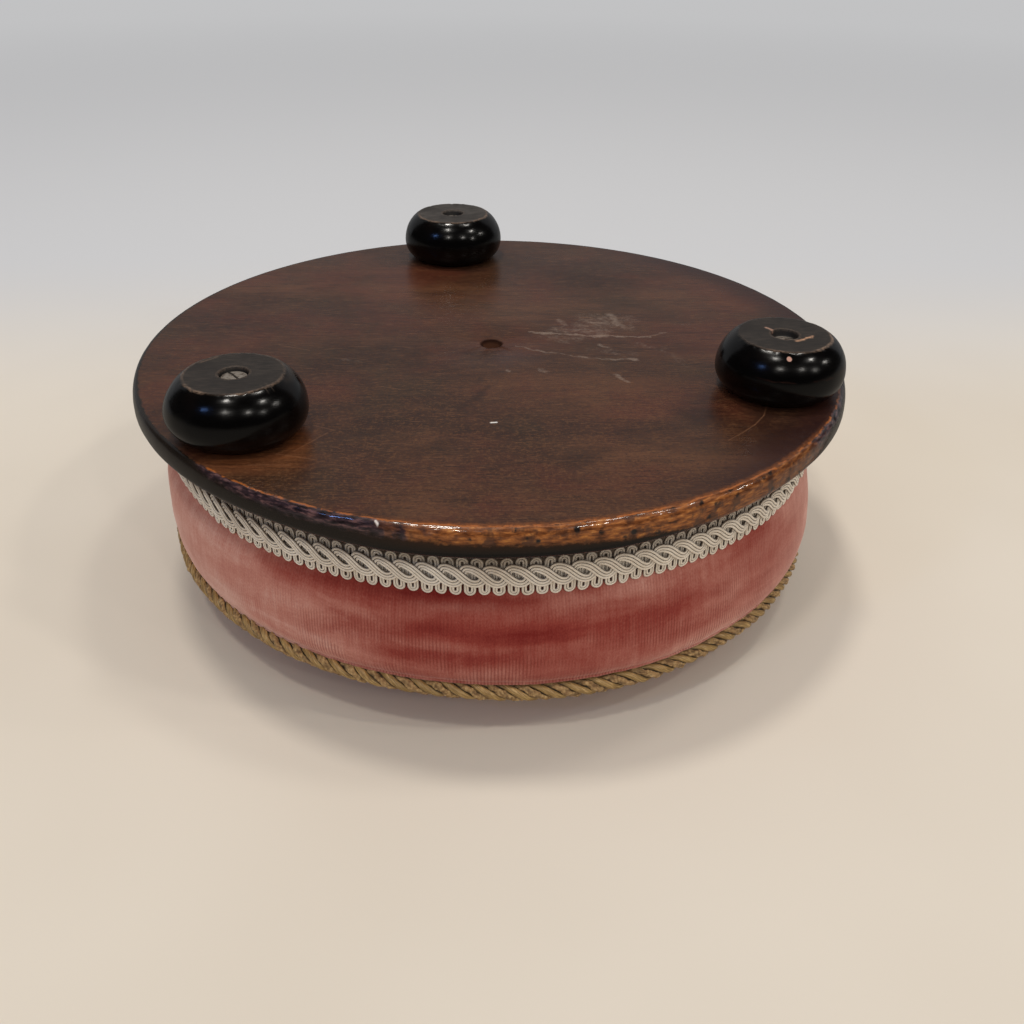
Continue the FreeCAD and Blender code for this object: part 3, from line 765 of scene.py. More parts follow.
def add_screw(work, name):
    """A slotted head with slightly rounded rims and its shank down into the board."""
    centre = centre_of("foot_" + name)
    turn = Matrix.Rotation(math.radians(SLOT_DEGREES[name]) - math.pi / 2, 4, "Z")
    seat = Matrix.Translation((centre.x, centre.y, FOOT_TOP - HEAD_SINK[name])) @ turn

    def row(places):
        return [work.verts.new(seat @ Vector(place)) for place in places]

    slot = SLOT_WIDTH / 2
    limit = math.acos(slot / HEAD_RADIUS)
    turns = np.linspace(-limit, limit, 28)
    outline = []
    for share in [k / HEAD_RINGS for k in range(HEAD_RINGS + 1)]:
        dome, rim = 0.25 * MM * (1 - share * share), 0.18 * MM * max(0.0, share - 0.8) / 0.2
        outline.append((HEAD_RADIUS * share, dome - rim))
    outline.append((HEAD_RADIUS, -SLOT_DEPTH))
    for side in (-1, 1):
        skin(work, [
            row((side * max(slot, radius * math.cos(t)), radius * math.sin(t), z) for t in turns)
            for radius, z in outline
        ])
        corners = ((-1, 0), (1, 0), (1, -SLOT_DEPTH), (-1, -SLOT_DEPTH))
        work.faces.new(row((side * slot, end * HEAD_RADIUS, z) for end, z in corners))
    turns = TURN * np.arange(SHANK_STEPS) / SHANK_STEPS
    rows = [row((radius * math.cos(t), radius * math.sin(t), z) for t in turns) for radius, z in SHANK]
    work.faces.new(rows[0])
    skin(work, [each + each[:1] for each in rows])
    work.faces.new(rows[-1][::-1])


def make_screws():
    work = bmesh.new()
    for name in FEET:
        add_screw(work, name)
    bmesh.ops.remove_doubles(work, verts=work.verts, dist=1e-7)
    bmesh.ops.recalc_face_normals(work, faces=work.faces)
    mesh = bpy.data.meshes.new("slotted_screws")
    work.to_mesh(mesh)
    work.free()
    screws = linked("slotted_screws", mesh)
    finish_piece(screws, iron_paint("old_screw", (132, 124, 114), 0.5, 0.35), "screw_iron", "foot_screws")


def iron_paint(name, tone, roughness, metallic=0.85):
    paint = Paint(name, Metallic=metallic)
    rust = paint.noise(paint.place, 700.0, 4, 0.65)
    return paint.use(
        Base_Color=paint.mix((rust, 0.45, 0.7), tone, (58, 40, 30)),
        Roughness=(rust, 0.3, 0.7, roughness, roughness + 0.3), Normal=paint.bump(rust, 0.0001, 0.4),
    )


# Velvet band round the drum

GIMP_SEAT = GIMP_RADIUS - 1.2 * MM
BAND_STRAIGHT = GIMP_LOW - 0.3 * MM
BAND_STEPS = 1080
BAND_THICKNESS = 1.2 * MM
ROUND_DRUM = TURN * CROWN_RADIUS
# Level, mean radius and how much fuller the right side is than the left, in millimetres
BAND_BELLY = (
    (61.6, 137.8, 0.0), (60.0, 138.9, -0.3), (57.0, 140.2, -0.9), (54.0, 141.0, -1.1),
    (50.0, 141.7, -0.8), (46.0, 142.3, -0.4), (42.0, 142.8, 0.0), (38.0, 143.1, 0.2),
    (34.0, 143.2, 0.5), (30.0, 143.0, 0.6), (27.6, 142.4, 0.7), (25.8, 141.5, 0.7), (24.6, 140.4, 0.7),
)
FOLD_RADIUS = 140.2 * MM
WADDING_STRIDE = 3
WADDING_LOW = BAND_LOW + 1.9 * MM
WADDING_HIGH = BAND_STRAIGHT - 6 * MM


def band_profile():
    """Outer face of the band, from its upper edge down to the fold above the rope."""
    points = [(GIMP_SEAT - 1.2 * MM, BAND_TOP), (GIMP_SEAT, BAND_TOP - 0.8 * MM)]
    points += spread(points[-1], (GIMP_SEAT, BAND_STRAIGHT + 1.5 * MM), 8)
    level, radius, _ = np.array(BAND_BELLY).T * MM
    knots = along(np.stack([radius, level], -1))
    steps = np.linspace(0, knots[-1], 44)
    belly = np.stack([np.interp(steps, knots, radius), np.interp(steps, knots, level)], -1)
    for _ in range(3):
        belly[1:-1] = (belly[:-2] + 2 * belly[1:-1] + belly[2:]) / 4
    points += [tuple(place) for place in belly]
    points += arc((FOLD_RADIUS - 0.6 * MM, BAND_LOW + 1.0 * MM), (1.2 * MM, 1.0 * MM), 0, -90, 5)
    return np.array(points + [(CROWN_RADIUS + 0.2 * MM, BAND_LOW + 0.1 * MM)])


# Crushed and rubbed patches, with painted shade (deep just under the gimp) and painted sheen (pale at the
# left and low down by the rope): degrees round the drum, level in millimetres, half widths along and up in
# millimetres, and how deep (+) or pale (-) the pile looks
NAP_AND_SHADE_PATCHES = (
    (-95, 43, 55, 22, 0.75), (-68, 44, 70, 22, 0.55), (-140, 64, 60, 4.5, 0.50),
    (-105, 62, 40, 3.2, 0.50), (-76, 62, 7, 3.2, 0.50), (-46, 61, 16, 4.0, 0.40),
    (-104, 57, 18, 3.6, 0.30), (-87, 47, 30, 3.6, 0.32), (-80, 51, 14, 3.4, 0.22),
    (-92, 36.5, 26, 3.0, 0.30), (-100, 49, 12, 2.6, 0.28), (-104, 36, 9, 3.0, 0.25),
    (-96, 57.5, 16, 2.0, -0.42), (-73, 58, 24, 2.6, -0.30), (-98, 42, 16, 2.2, -0.32),
    (-77, 42, 6, 2.0, -0.25), (-77, 27, 70, 4.0, -0.16), (-140, 30, 60, 6.0, -0.22),
    (-136, 25, 34, 3.5, -0.45), (-34, 44, 40, 22, 0.26), (-76, 36, 16, 4.0, 0.20),
    (-124, 55, 8, 4.0, 0.22), (-117, 58.5, 24, 4.2, 0.70), (-97, 60.5, 22, 3.4, 0.55),
    (-150, 46, 40, 16, -0.10), (-52, 47, 12, 3.0, 0.16), (-63, 48, 16, 6.0, 0.24), (-92, 26, 22, 3.0, 0.22),
    (-48, 56, 24, 4.5, 0.38), (-87, 58.5, 10, 3.6, 0.38),
    (60, 45, 60, 14, 0.2), (120, 40, 50, 10, 0.5), (170, 50, 40, 10, 0.35), (20, 36, 40, 10, 0.4),
)
NAP_REST = -0.6


def nap(turns, z):
    """How crushed the pile is at each place, with painted shade and sheen: above 0 it looks deep, below 0 it
    looks pale.
    """
    total = np.full(np.broadcast(turns, z).shape, NAP_REST)
    wave = rough_round(turns, 7, z / (9 * MM), 14.2)
    for degrees, level, wide, tall, strength in NAP_AND_SHADE_PATCHES:
        across = (turns - math.radians(degrees) + math.pi) % TURN - math.pi
        across = across * CROWN_RADIUS / (wide * MM) + 0.25 * wave
        up = (z - level * MM) / (tall * MM) + 0.35 * wave
        total = total + strength * np.exp(-(across ** 2 + up ** 2))
    return total


# How far the rope stands above or below its leaning ring, in millimetres, round it in degrees
ROPE_DIPS = (
    (-180, 0.8), (-140, 1.1), (-127, 1.0), (-113, 0.7), (-96, 0.4), (-90, -0.2), (-86, -0.9),
    (-68, -1.0), (-59, 0.0), (-49, 0.6), (-40, 0.1), (0, 0.0), (90, 0.4),
)


def lean(points, tilt, share):
    """The trim at the foot of the drum leans down to the right and dips at its middle."""
    here = np.degrees(np.arctan2(points[..., 1], points[..., 0]))
    degrees, dip = np.array(ROPE_DIPS).T
    return tilt * points[..., 0] + share * MM * np.interp(here, degrees, dip, period=360)


def make_band(wadding_material):
    profile = band_profile()
    turns = angles(BAND_STEPS)
    points = turned_points(profile, turns)
    z = points[..., 2]
    ring = np.array([np.cos(turns), np.sin(turns)]) * CROWN_RADIUS / MM
    soft = 1 - smooth_step(BAND_STRAIGHT - 9 * MM, BAND_STRAIGHT, z)
    level, _, fuller = np.array(BAND_BELLY)[::-1].T
    tilt = np.interp(z / MM, level, fuller) * np.cos(turns)
    swell = rough(*(ring / 46), z / MM / 20, 2.3)
    dimples = rough(*(ring / 13), z / MM / 8, 6.1)
    puckers = rough(*(ring / 3.2), z / MM / 40, 8.8)
    below_gimp = bell((z - BAND_STRAIGHT) / (5 * MM)) * (z < BAND_STRAIGHT)
    above_rope = bell((z - BAND_LOW) / (4.5 * MM))
    # Crushed pile with painted shade and sheen, which also dents the face a little
    crush_and_shade = nap(turns[None, :], z)
    lift = tilt + 0.30 * swell * soft + 0.12 * dimples * soft - 0.10 * crush_and_shade * soft
    lift += 0.30 * puckers * (below_gimp + above_rope * 0.9)
    tuck = np.exp(-(((turns - math.radians(-100)) / 0.26) ** 2) - 1.2 * (turns < -math.pi))
    lift -= 1.6 * tuck * (1 - smooth_step(22 * MM, 28 * MM, z))
    radius = np.hypot(points[..., 0], points[..., 1])
    points[..., :2] *= (1 + lift * MM / radius)[..., None]
    points[..., 2] += lean(points, -0.0110, 0.5) * (1 - smooth_step(30 * MM, 56 * MM, z))
    sheet = grid(points, np.linspace(0, ROUND_DRUM, BAND_STEPS + 1), along(profile), flip=True)
    band = mesh_object("velvet_band", *sheet)
    give_field(band, "nap", crush_and_shade)
    give_thickness(band, BAND_THICKNESS)
    finish_piece(band, velvet_paint("velvet_side"), "velvet", "side_band")
    make_side_wadding(profile, points, turns, wadding_material)


def make_side_wadding(profile, face, turns, material):
    """Fills the room behind the band and follows its face, which leans more than the solid's."""
    belly = (profile[:, 1] > WADDING_LOW) & (profile[:, 1] < WADDING_HIGH)
    outer = face[belly][:, ::WADDING_STRIDE].copy()
    radius = np.hypot(outer[..., 0], outer[..., 1])
    outer[..., :2] *= (1 - 1.5 * MM / radius)[..., None]
    skirt, hoop, step = CROWN_RADIUS + 0.2 * MM, CROWN_RADIUS - 1.0 * MM, SKIRT_TOP + 0.4 * MM
    back = [(skirt, WADDING_LOW), (skirt, step), (hoop, step), (hoop, WADDING_HIGH)]
    points = np.concatenate([outer, turned_points(back, turns[::WADDING_STRIDE])])
    u, v = np.linspace(0, 1, points.shape[1] + 1), np.linspace(0, 1, len(points) + 1)
    wadding = mesh_object("wadding_under_band", *grid(points, u, v, closed_rows=True, flip=True))
    finish_piece(wadding, material, "wadding", "side_wadding")


def give_thickness(thing, thickness):
    """Backs a sheet with a second face inside it, and applies that to the mesh."""
    bpy.context.view_layer.objects.active = thing
    shell = thing.modifiers.new("shell", "SOLIDIFY")
    shell.thickness = thickness
    shell.offset = -1
    graph = bpy.context.evaluated_depsgraph_get()
    backed = bpy.data.meshes.new_from_object(thing.evaluated_get(graph))
    thing.modifiers.clear()
    thing.data = backed


def velvet_paint(name):
    """Cut pile with fine rows, crushed patches with painted shade and sheen, painted shade behind the gimp,
    and a pale sheen at grazing angles.
    """
    paint = Paint(
        name, Roughness=0.9, Specular_IOR_Level=0.08, Sheen_Weight=0.6, Sheen_Roughness=0.36,
        Sheen_Tint=colour(240, 204, 192),
    )
    x, _, z = paint.axes(paint.place)
    uv = paint.uv
    streaky = paint.noise(paint.place, (26, 26, 90), 4, 0.62, 0.5)
    brushed = paint.noise(uv, (330, 60, 1), 3, 0.6)
    tufts = paint.noise(uv, (1900, 1100, 1), 2, 0.6)
    breaks = paint.noise(uv, (36, 70, 1), 4, 0.6)
    slow = paint.noise(uv, (60, 30, 1), 3, 0.6)
    rib_phase = paint.plus(paint.times(paint.axes(uv)[0], TURN / (1.20 * MM)), paint.times(slow, 9.0))
    rows = paint.math("SINE", rib_phase)
    # The band's field adds crushed pile and its painted shade and sheen to the tone
    tone = paint.plus(
        paint.swing(streaky, -0.55), paint.swing(brushed, -0.28), paint.swing(tufts, -0.30),
        paint.times(paint.value("nap"), 0.42), 0.5,
    )
    paint.base = paint.ramp(
        tone, (0.08, 210, 166, 152), (0.30, 188, 128, 114), (0.52, 162, 92, 80), (0.70, 142, 62, 53),
        (0.90, 118, 36, 32),
    )
    ribs = paint.times((rows, -0.4, 1.0, 0.0, 0.5), (breaks, 0.42, 0.58, 0.15, 1.0))
    low_down = paint.times((z, 56 * MM, 38 * MM, 0.45, 1.0), (x, -90 * MM, -50 * MM, 0.3, 1.0))
    paint.coat((112, 44, 38), ribs, low_down)
    # Painted shade: the velvet from the gimp's lower edge up to the board, behind the gimp
    paint.coat((48, 24, 20), (z, GIMP_LOW - 0.6 * MM, GIMP_LOW + 1.8 * MM, 0.0, 0.8))
    height = paint.plus(paint.times(rows, 0.25), tufts)
    return paint.use(Base_Color=paint.base, Normal=paint.bump(height, 0.0002, 0.35))


# Padded crown under the rope

CROWN_STEPS = 360
CROWN_RINGS = 44


def make_crown():
    """A stuffed dome, pressed flat where the stool lies on it, with gathers at its rim."""
    rim_z = BAND_LOW - 5.5 * MM
    rim = CROWN_RADIUS + 0.6 * MM
    turn = np.linspace(0, 1, CROWN_RINGS + 1) * math.pi / 2
    dome = np.stack([rim * np.cos(turn), rim_z - (rim_z - CROWN_LOW + 0.45 * MM) * np.sin(turn)], -1)
    profile = np.concatenate([[(rim - 0.6 * MM, rim_z + 6 * MM)], dome])
    turns = angles(CROWN_STEPS)
    points = turned_points(profile, turns)
    radius = np.hypot(points[..., 0], points[..., 1])
    near_rim = smooth_step(rim * 0.72, rim * 0.97, radius)
    gathers = rough_round(turns, 22, radius / MM / 30, 4.4)
    waves = rough(points[..., 0] / MM / 30, points[..., 1] / MM / 30, 0.0, 7.2)
    points[..., 2] += near_rim * gathers * 0.7 * MM + waves * 0.35 * MM
    points[..., 2] = np.maximum(points[..., 2], CROWN_LOW)
    sheet = grid(points, np.linspace(0, ROUND_DRUM, CROWN_STEPS + 1), along(profile))
    crown = clean(mesh_object("velvet_crown", *sheet))
    finish_piece(crown, velvet_paint("velvet_crown"), "velvet", "crown_cover")


# Scroll gimp: picot loops behind, and two strands of three cords that cross over them

SCROLL_WAVES = 58
SCROLL_REACH = 3.05 * MM
SCROLL_SAMPLES = 30
SCROLL_MIDDLE = (GIMP_LOW + GIMP_TOP) / 2 + 1.05 * MM
CORD_RADIUS = 0.56 * MM
CORD_PITCH = 1.08 * MM
PICOTS = 178
PICOT_STEPS = 10
PICOT_CORD = 0.49 * MM
PICOT_PITCH = 0.90 * MM
PICOT_TOP = GIMP_TOP + 0.5 * MM
PICOT_LOW = GIMP_LOW - 0.6 * MM
ROUND_GIMP = TURN * GIMP_RADIUS
GIMP_TILT = -0.006
WEB_STEPS = 720


def gimp_lean(x, y):
    """The braid leans a little and climbs at the left, towards the front."""
    climb = (1 - smooth_step(-126 * MM, -92 * MM, x)) * (1 - smooth_step(-20 * MM, 40 * MM, y))
    return GIMP_TILT * x + 1.9 * MM * climb


def gimp_cord(s, z, out, *tube_sizes):
    """A cord on the drum: s is the length round it from the back, z the level, out the radius."""
    turn = BACK + s / GIMP_RADIUS
    outward = np.stack([np.cos(turn), np.sin(turn), np.zeros_like(turn)], -1)
    x, y = out * np.cos(turn), out * np.sin(turn)
    return tube(np.stack([x, y, z + gimp_lean(x, y)], -1), outward, *tube_sizes)


def bend(s, seed, cell):
    """Noise round the drum that closes on itself, for places s along it."""
    return rough_round(s / GIMP_RADIUS, GIMP_RADIUS / cell, 0.0, seed)


def scroll_cords():
    wave = ROUND_GIMP / SCROLL_WAVES
    count = SCROLL_WAVES * SCROLL_SAMPLES
    t = np.arange(count) / SCROLL_SAMPLES
    phase = TURN * t
    over = smooth_step(-0.75, 0.75, np.sin(phase))
    cords = []
    for strand in (0, 1):
        s = wave * (t + 0.5 * strand) + 0.085 * wave * (1 - np.cos(phase)) + 0.02 * wave * np.sin(2 * phase)
        s = s + 0.35 * MM * bend(s, 1.7 + strand, 9 * MM)
        z = SCROLL_REACH * np.cos(phase) * (1 + 0.06 * bend(s, 4.2 + strand, 11 * MM))
        path = np.stack([s, z + 0.25 * MM * bend(s, 3.3, 25 * MM)], -1)
        ahead = np.roll(path, -1, axis=0) - np.roll(path, 1, axis=0)
        ahead[[0, -1], 0] += ROUND_GIMP
        ahead = unit(ahead)
        normal = np.stack([-ahead[:, 1], ahead[:, 0]], -1)
        for lane in (-1, 0, 1):
            place = path + normal * lane * CORD_PITCH
            out = GIMP_SEAT + 2 * PICOT_CORD * 0.9 + CORD_RADIUS * (0.8 + 1.45 * over)
            out = out + (0.10 * MM if lane == 0 else 0.0)
            level = SCROLL_MIDDLE + place[:, 1]
            cords.append(gimp_cord(place[:, 0], level, out, CORD_RADIUS, 8, ROUND_GIMP / count))
    return cords


def picot_cords():
    pitch = ROUND_GIMP / PICOTS
    middle = (PICOT_LOW + PICOT_TOP) / 2
    turn_radius = pitch / 4
    reach = (PICOT_TOP - PICOT_LOW) / 2 - PICOT_CORD - PICOT_PITCH / 2 - turn_radius
    turn = np.linspace(math.pi, 0, PICOT_STEPS)
    cords = []
    for lane in (-0.5, 0.5):
        high, deep = turn_radius + lane * PICOT_PITCH, turn_radius - lane * PICOT_PITCH
        top = np.stack([high * np.cos(turn), reach + high * np.sin(turn)], -1)
        low = np.stack([pitch / 2 + deep * np.cos(turn), -reach - deep * np.sin(turn)], -1)
        one = np.concatenate([top, top[-1:] * (1, 0), low, low[-1:] * (1, 0)])
        s = (pitch * np.arange(PICOTS)[:, None] + one[None, :, 0]).ravel()
        z = np.tile(one[:, 1], PICOTS)
        tip = smooth_step(reach * 0.6, reach + turn_radius, np.abs(z))
        wild = smooth_step(0.42, 0.75, bend(s, 31.0, 7 * MM))
        sway = tip * (0.45 + 1.0 * wild) * MM * bend(s, 12.3, 3.2 * MM)
        s = s + sway + 0.3 * MM * tip * bend(s, 2.2, 8 * MM)
        z = z * (1 + 0.06 * tip * bend(s, 7.9, 3.0 * MM) - 0.16 * tip * wild)
        out = GIMP_SEAT + PICOT_CORD * (1.0 + 0.5 * tip * bend(s, 9.1, 4.0 * MM))
        cords.append(gimp_cord(s, middle + z, out, PICOT_CORD, 6, ROUND_GIMP / len(s) * 2.5))
    return cords


def gimp_web():
    """The flat web of threads that the cords are sewn to; its u sets how deep in shade it looks: the upper
    sheet is painted shade under the board, the lower one light behind the braid.
    """
    turns = angles(WEB_STEPS)
    front, back = GIMP_SEAT + 0.35 * MM, GIMP_SEAT - 0.1 * MM
    split = SCROLL_MIDDLE + 2.2 * MM
    sheets = []
    for low, high, u in ((SCROLL_MIDDLE - 3.4 * MM, split, 0.06), (split, PICOT_TOP - 0.7 * MM, 0.5)):
        points = turned_points([(back, low), (front, low), (front, high), (back, high)], turns)
        points[..., 2] += gimp_lean(points[..., 0], points[..., 1])
        sheets.append(grid(points, np.full(WEB_STEPS + 1, u), np.linspace(0, 1, 5), closed_rows=True))
    return sheets


def make_gimp():
    gimp = mesh_object("scroll_gimp", *joined(scroll_cords() + picot_cords() + gimp_web()))
    finish_piece(gimp, gimp_paint(), "gimp", "gimp_braid")


def gimp_paint():
    """Cream gimp cord: fine winding across each cord, and soil and painted shade in the grooves between
    cords.
    """
    paint = Paint("cream_gimp", Roughness=0.6, Sheen_Weight=0.25, Sheen_Roughness=0.5)
    u, v, _ = paint.axes(paint.uv)
    winding = paint.math("SINE", paint.plus(paint.times(v, TURN / (0.42 * MM)), paint.times(u, TURN)))
    soil = paint.noise(paint.place, 45.0, 4, 0.6)
    threads = paint.noise(paint.uv, (9, 1600, 1), 2, 0.5)
    paint.base = paint.ramp(soil, (0.30, 212, 197, 177), (0.55, 235, 223, 205), (0.80, 246, 238, 224))
    z = paint.axes(paint.place)[2]
    # Painted shade: the upper loops darker under the board's overhang
    paint.coat((132, 114, 94), (z, GIMP_TOP - 4 * MM, GIMP_TOP - 1.5 * MM, 0.0, 0.5))
    paint.coat((168, 152, 122), (threads, 0.5, 0.75, 0.0, 0.30))
    # Painted shade, with some soil, in the grooves between cords, where each cord turns away from the front
    paint.coat((80, 60, 40), (paint.outer_side(), 0.16, 0.97, 0.93, 0.0))
    height = paint.plus(paint.times(winding, 0.35), threads)
    return paint.use(Base_Color=paint.base, Normal=paint.bump(height, 0.0001, 0.45))


# Rope: two satin strands and two crepe strands laid up together

ROPE_TURNS = 40
ROPE_TILT = -0.0205
STRAND_CENTRE = 1.90 * MM
SATIN_RADIUS = 1.34 * MM
CREPE_RADIUS = 1.42 * MM
SATIN_STEPS = (2000, 20)
CREPE_STEPS = (3000, 16)
# A strand is this much longer than its ring
LAY_LENGTH = 1.25


def rope_strand(order, samples, around):
    """Centre line and outward directions of one strand, and both its angles."""
    turn = TURN * np.arange(samples) / samples
    lay = -ROPE_TURNS * turn + order * math.pi / 2
    lay = lay + 0.25 * rough_round(turn, 20, 0.0, 5.5)
    ring = np.stack([np.cos(BACK + turn), np.sin(BACK + turn), np.zeros(samples)], -1)
    out = np.cos(lay)[:, None] * ring + np.sin(lay)[:, None] * np.array([0, 0, 1])
    centre = ring * (ROPE_RING + 0.35 * MM * rough_round(turn, 9, 0.0, 6.6))[:, None]
    centre[:, 2] = ROPE_Z - 0.1 * MM + lean(centre, ROPE_TILT, 1.0)
    face = TURN * np.arange(around) / around
    return centre + STRAND_CENTRE * out, out, turn[:, None], face[None, :]


def satin_strand(order):
    path, out, turn, face = rope_strand(order, *SATIN_STEPS)
    radius = SATIN_RADIUS * (1 + 0.05 * np.cos(7 * face + 46 * turn))
    return tube(path, out, radius, SATIN_STEPS[1], TURN * ROPE_RING * LAY_LENGTH / SATIN_STEPS[0])


def crepe_strand(order):
    path, out, turn, face = rope_strand(order, *CREPE_STEPS)
    s = turn * ROPE_RING / (0.95 * MM)
    knobs = np.sin(s + 1.3 * np.sin(face + 0.31 * s)) * np.cos(2 * face + 0.83 * s)
    lumps = rough_round(face, 1.6, s, 3.9 + order)
    relief = np.clip(0.55 * knobs + 0.6 * lumps, -1, 1)
    radius = CREPE_RADIUS * (0.90 + 0.42 * relief)
    return tube(path, out, radius, CREPE_STEPS[1], TURN * ROPE_RING * LAY_LENGTH / CREPE_STEPS[0]), relief


def make_rope():
    satin = mesh_object("rope_satin_strands", *joined([satin_strand(0), satin_strand(2)]))
    finish_piece(satin, satin_paint(), "rope", "rope_trim")
    sheets, reliefs = zip(crepe_strand(1), crepe_strand(3))
    crepe = mesh_object("rope_crepe_strands", *joined(sheets))
    give_field(crepe, "relief", np.concatenate(reliefs))
    finish_piece(crepe, crepe_paint(), "rope", "rope_trim")


def satin_paint():
    paint = Paint("rope_satin", Roughness=0.42, Sheen_Weight=0.08, Sheen_Roughness=0.4)
    fibres = paint.noise(paint.uv, (26, 260, 1), 3, 0.6)
    paint.base = paint.ramp(fibres, (0.32, 112, 84, 44), (0.52, 166, 132, 78), (0.70, 216, 184, 126))
    paint.coat((128, 102, 60), (paint.noise(paint.place, 60.0, 3), 0.45, 0.7, 0.0, 0.4))
    # Painted shade on each strand's inner side, in the grooves between strands
    paint.coat((46, 32, 18), (paint.outer_side(), -0.15, 0.45, 0.85, 0.0))
    return paint.use(Base_Color=paint.base, Normal=paint.bump(fibres, 0.00025, 0.6))


def crepe_paint():
    paint = Paint("rope_crepe", Roughness=0.75, Sheen_Weight=0.08, Sheen_Roughness=0.5)
    curl = paint.noise(paint.place, 900.0, 3, 0.6)
    paint.base = paint.ramp(curl, (0.34, 122, 90, 52), (0.55, 172, 138, 88), (0.78, 214, 184, 132))
    paint.coat((160, 122, 84), (paint.noise(paint.place, 90.0, 3), 0.42, 0.7, 0.0, 0.3))
    # Painted shade in the hollows between the crepe's knobs
    paint.coat((84, 60, 32), (paint.value("relief"), -0.6, 0.15, 0.6, 0.0))
    # Painted shade on each strand's inner side, in the grooves between strands
    paint.coat((46, 32, 18), (paint.outer_side(), -0.15, 0.45, 0.8, 0.0))
    return paint.use(Base_Color=paint.base, Normal=paint.bump(curl, 0.0004, 0.8))


# Finishes of the inner pieces, which keep their CAD shapes

def plain_paint(name, dark, light, texture, relief, **constants):
    """Noise between two tones, and its bump; texture is what noise() takes, relief what bump() does."""
    paint = Paint(name, **constants)
    field = paint.noise(paint.place, *texture)
    base = paint.ramp(field, (0.3, *dark), (0.7, *light))
    return paint.use(Base_Color=base, Normal=paint.bump(field, *relief))


def weave_paint(name, dark, light, pitch):
    paint = Paint(name, Roughness=0.9)
    warp, weft, _ = [paint.math("SINE", paint.times(axis, TURN / pitch)) for axis in paint.axes(paint.place)]
    weave = paint.plus(paint.times(warp, weft, 0.5), 0.5)
    return paint.use(Base_Color=paint.mix(weave, dark, light), Normal=paint.bump(weave, 0.0003, 0.8))


def inner_finishes():
    """The material of each CAD node that no mesh of the scene stands for."""
    tufted = {"relief": (0.0008, 0.8), "Roughness": 0.9, "Sheen_Weight": 0.2}
    timber = plain_paint(
        "bare_timber", (150, 118, 78), (196, 166, 122), ((60, 60, 500), 4, 0.6, 0.4), (0.0002, 0.4),
        Roughness=0.6,
    )
    iron = iron_paint("blued_iron", (70, 74, 84), 0.35)
    hair = plain_paint("horse_hair", (38, 28, 22), (92, 74, 58), (400.0, 5, 0.7, 1.5), **tufted)
    cotton = plain_paint(
        "cotton_wadding", (206, 202, 192), (236, 233, 226), (160.0, 5, 0.7, 1.5), **tufted,
    )
    return {
        "drum_hoop": timber, "glue_blocks": timber, "hoop_nails": iron, "hessian_tacks": iron,
        "cover_tacks": iron, "band_tacks": iron, "drum_stuffing": hair, "crown_stuffing": hair,
        "crown_wadding": cotton,
        "hessian_cover": weave_paint("hessian_weave", (118, 92, 58), (178, 148, 104), 1.8 * MM),
    }


# Stage, light and camera

CAMERA_PLACE = (0.0, -0.41747, 0.26921)
CAMERA_PITCH = math.radians(31.998)
CAMERA_YAW = math.radians(1.346)
CAMERA_ROLL = math.radians(0.668)
CAMERA_LENS = 35.96
SENSOR = 36.0


def make_camera():
    """Stands where the photograph was taken from."""
    ahead = Vector((math.sin(CAMERA_YAW), math.cos(CAMERA_YAW), 0))
    level = Vector((math.cos(CAMERA_YAW), -math.sin(CAMERA_YAW), 0))
    forward = ahead * math.cos(CAMERA_PITCH) - Vector((0, 0, math.sin(CAMERA_PITCH)))
    right = math.cos(CAMERA_ROLL) * level + math.sin(CAMERA_ROLL) * level.cross(forward)
    data = bpy.data.cameras.new("camera")
    data.lens = CAMERA_LENS
    data.sensor_width = SENSOR
    camera = linked("camera", data)
    turn = Matrix((right, right.cross(forward), -forward)).transposed().to_4x4()
    camera.matrix_world = Matrix.Translation(CAMERA_PLACE) @ turn
    bpy.context.scene.camera = camera


# What the camera sees of the far floor and the sky
BACKDROP = colour(191, 191, 192)
FLOOR_REACH = 30.0


def make_floor():
    corners = [(x * FLOOR_REACH, y * FLOOR_REACH, 0) for x, y in ((-1, -1), (1, -1), (1, 1), (-1, 1))]
    floor = mesh_object("floor", corners, [(0, 1, 2, 3)])
    paint = Paint("pale_floor", Roughness=0.7, Specular_IOR_Level=0.2)
    cloud = paint.noise(paint.place, 3.0, 3)
    paint.base = paint.mix((cloud, 0.3, 0.7), (211, 201, 186), (218, 209, 195))
    paint.coat((202, 203, 205), (paint.axes(paint.place)[1], 0.08, 0.42))
    paint.coat((70, 68, 64), paint.ray("Is Glossy Ray"), 0.7)
    seen = paint.times(paint.ray("Is Camera Ray"), (paint.length(paint.place), 0.6, 2.2))
    paint.coat((0, 0, 0), seen)
    dress(floor, paint.use(Base_Color=paint.base, Emission_Color=BACKDROP, Emission_Strength=seen))


# Ceiling lamps as (x, y), all at one height: the feet mirror two rows of three in front of
# the stool, two broad lamps overhead, given with their power, make its shadow, and a pale
# panel stands behind it
LAMP_HEIGHT = 2.4
SMALL_LAMPS = ((-0.45, -0.85), (1.85, -0.75), (4.15, -0.45), (-0.6, -2.9), (1.65, -2.9), (4.0, -2.9))
SMALL_POWER = 9.0
SMALL_SIZE = 0.24
BROAD_LAMPS = ((-0.35, 0.25, 15.5), (0.75, 0.3, 6.5))
BROAD_SIZE = 0.32
BLUE_LAMP = (-2.55, -2.1)
BLUE_POWER = 6.0
BLUE_SIZE = 0.34
PANEL_PLACE = (0, 3.2, 2.2)
PANEL_POWER = 32.0
PANEL_SIZE = (10.0, 4.4)
WARM = (1.0, 0.95, 0.88)
BLUE = (0.22, 0.42, 1.0)
PALE = (0.95, 0.97, 1.0)
SKY = (0.86, 0.86, 0.88, 1.0)
DIFFUSE_SKY = 0.46
MIRRORED_SKY = 0.02


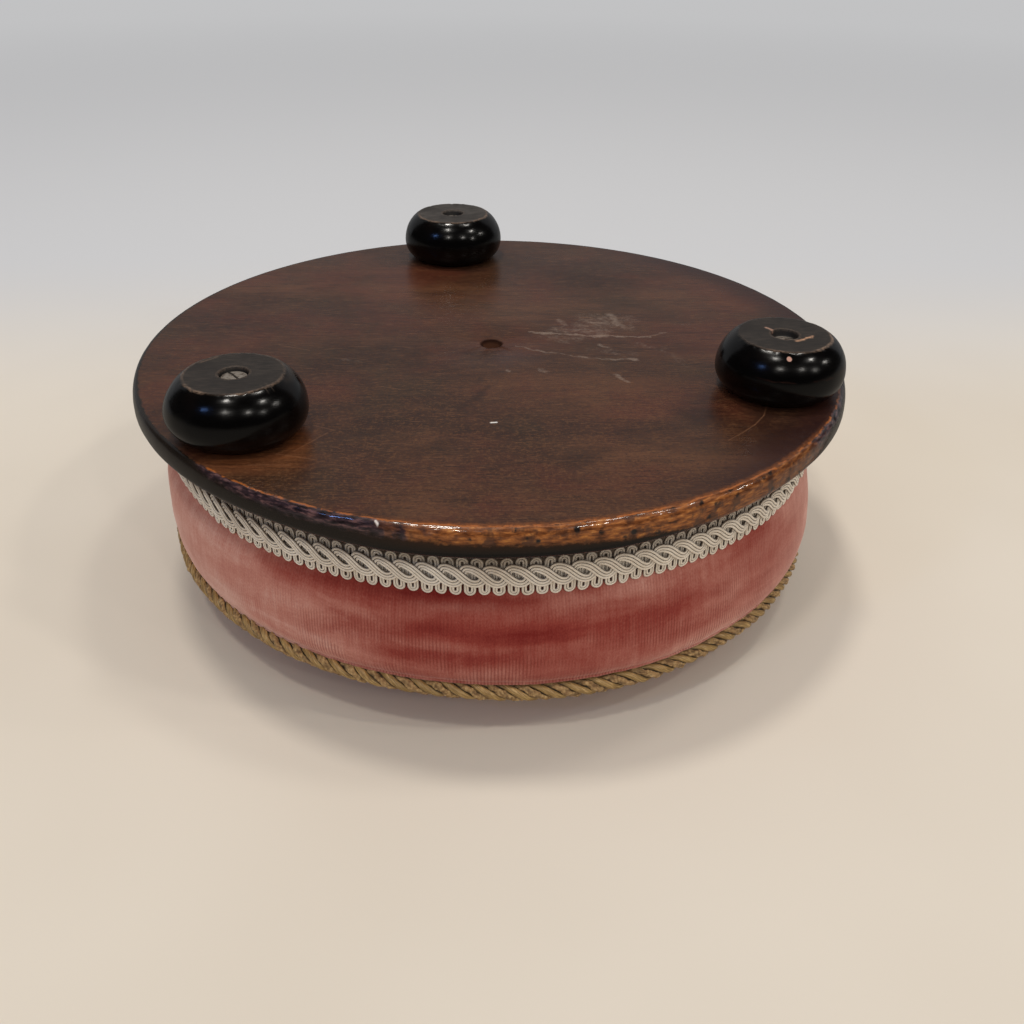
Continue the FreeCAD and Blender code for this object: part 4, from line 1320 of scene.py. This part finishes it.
def lamp(name, place, power, size, tone, aim=(0, 0, 0)):
    """A round lamp, or a rectangular one where its size has two numbers."""
    data = bpy.data.lights.new(name, "AREA")
    data.energy = power
    data.color = tone
    if isinstance(size, tuple):
        data.shape = "RECTANGLE"
        data.size, data.size_y = size
    else:
        data.shape = "DISK"
        data.size = size
    light = linked(name, data)
    light.location = place
    light.rotation_euler = (Vector(place) - Vector(aim)).to_track_quat("Z", "Y").to_euler()
    light.visible_camera = False


def make_lights():
    for number, place in enumerate(SMALL_LAMPS):
        lamp(f"small_lamp_{number}", (*place, LAMP_HEIGHT), SMALL_POWER, SMALL_SIZE, WARM)
    for number, (x, y, power) in enumerate(BROAD_LAMPS):
        lamp(f"broad_lamp_{number}", (x, y, LAMP_HEIGHT), power, BROAD_SIZE, WARM)
    lamp("blue_window", (*BLUE_LAMP, LAMP_HEIGHT), BLUE_POWER, BLUE_SIZE, BLUE)
    lamp("pale_panel", PANEL_PLACE, PANEL_POWER, PANEL_SIZE, PALE, (0, 0, PANEL_PLACE[2]))


def make_sky():
    """Weak in mirror rays, and the plain backdrop where the camera sees it."""
    world = bpy.data.worlds.new("studio")
    bpy.context.scene.world = world
    sky = Nodes(world)
    level = sky.node("ShaderNodeMapRange", {
        "Value": sky.ray("Is Glossy Ray"), "To Min": DIFFUSE_SKY, "To Max": MIRRORED_SKY,
    })
    plain = sky.node("ShaderNodeBackground", {"Color": SKY, "Strength": level})
    backdrop = sky.node("ShaderNodeBackground", {"Color": BACKDROP})
    either = sky.node("ShaderNodeMixShader", {0: sky.ray("Is Camera Ray"), 1: plain, 2: backdrop})
    sky.feed(sky.tree.nodes["World Output"].inputs["Surface"], either)
    bpy.context.scene.view_settings.view_transform = "Standard"


make_camera()
make_board()
for foot_name in FEET:
    make_foot(foot_name)
make_screws()
finishes = inner_finishes()
make_band(finishes["crown_wadding"])
make_crown()
make_gimp()
make_rope()
for node_name, finish in finishes.items():
    dress(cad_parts[node_name], finish)
make_floor()
make_lights()
make_sky()
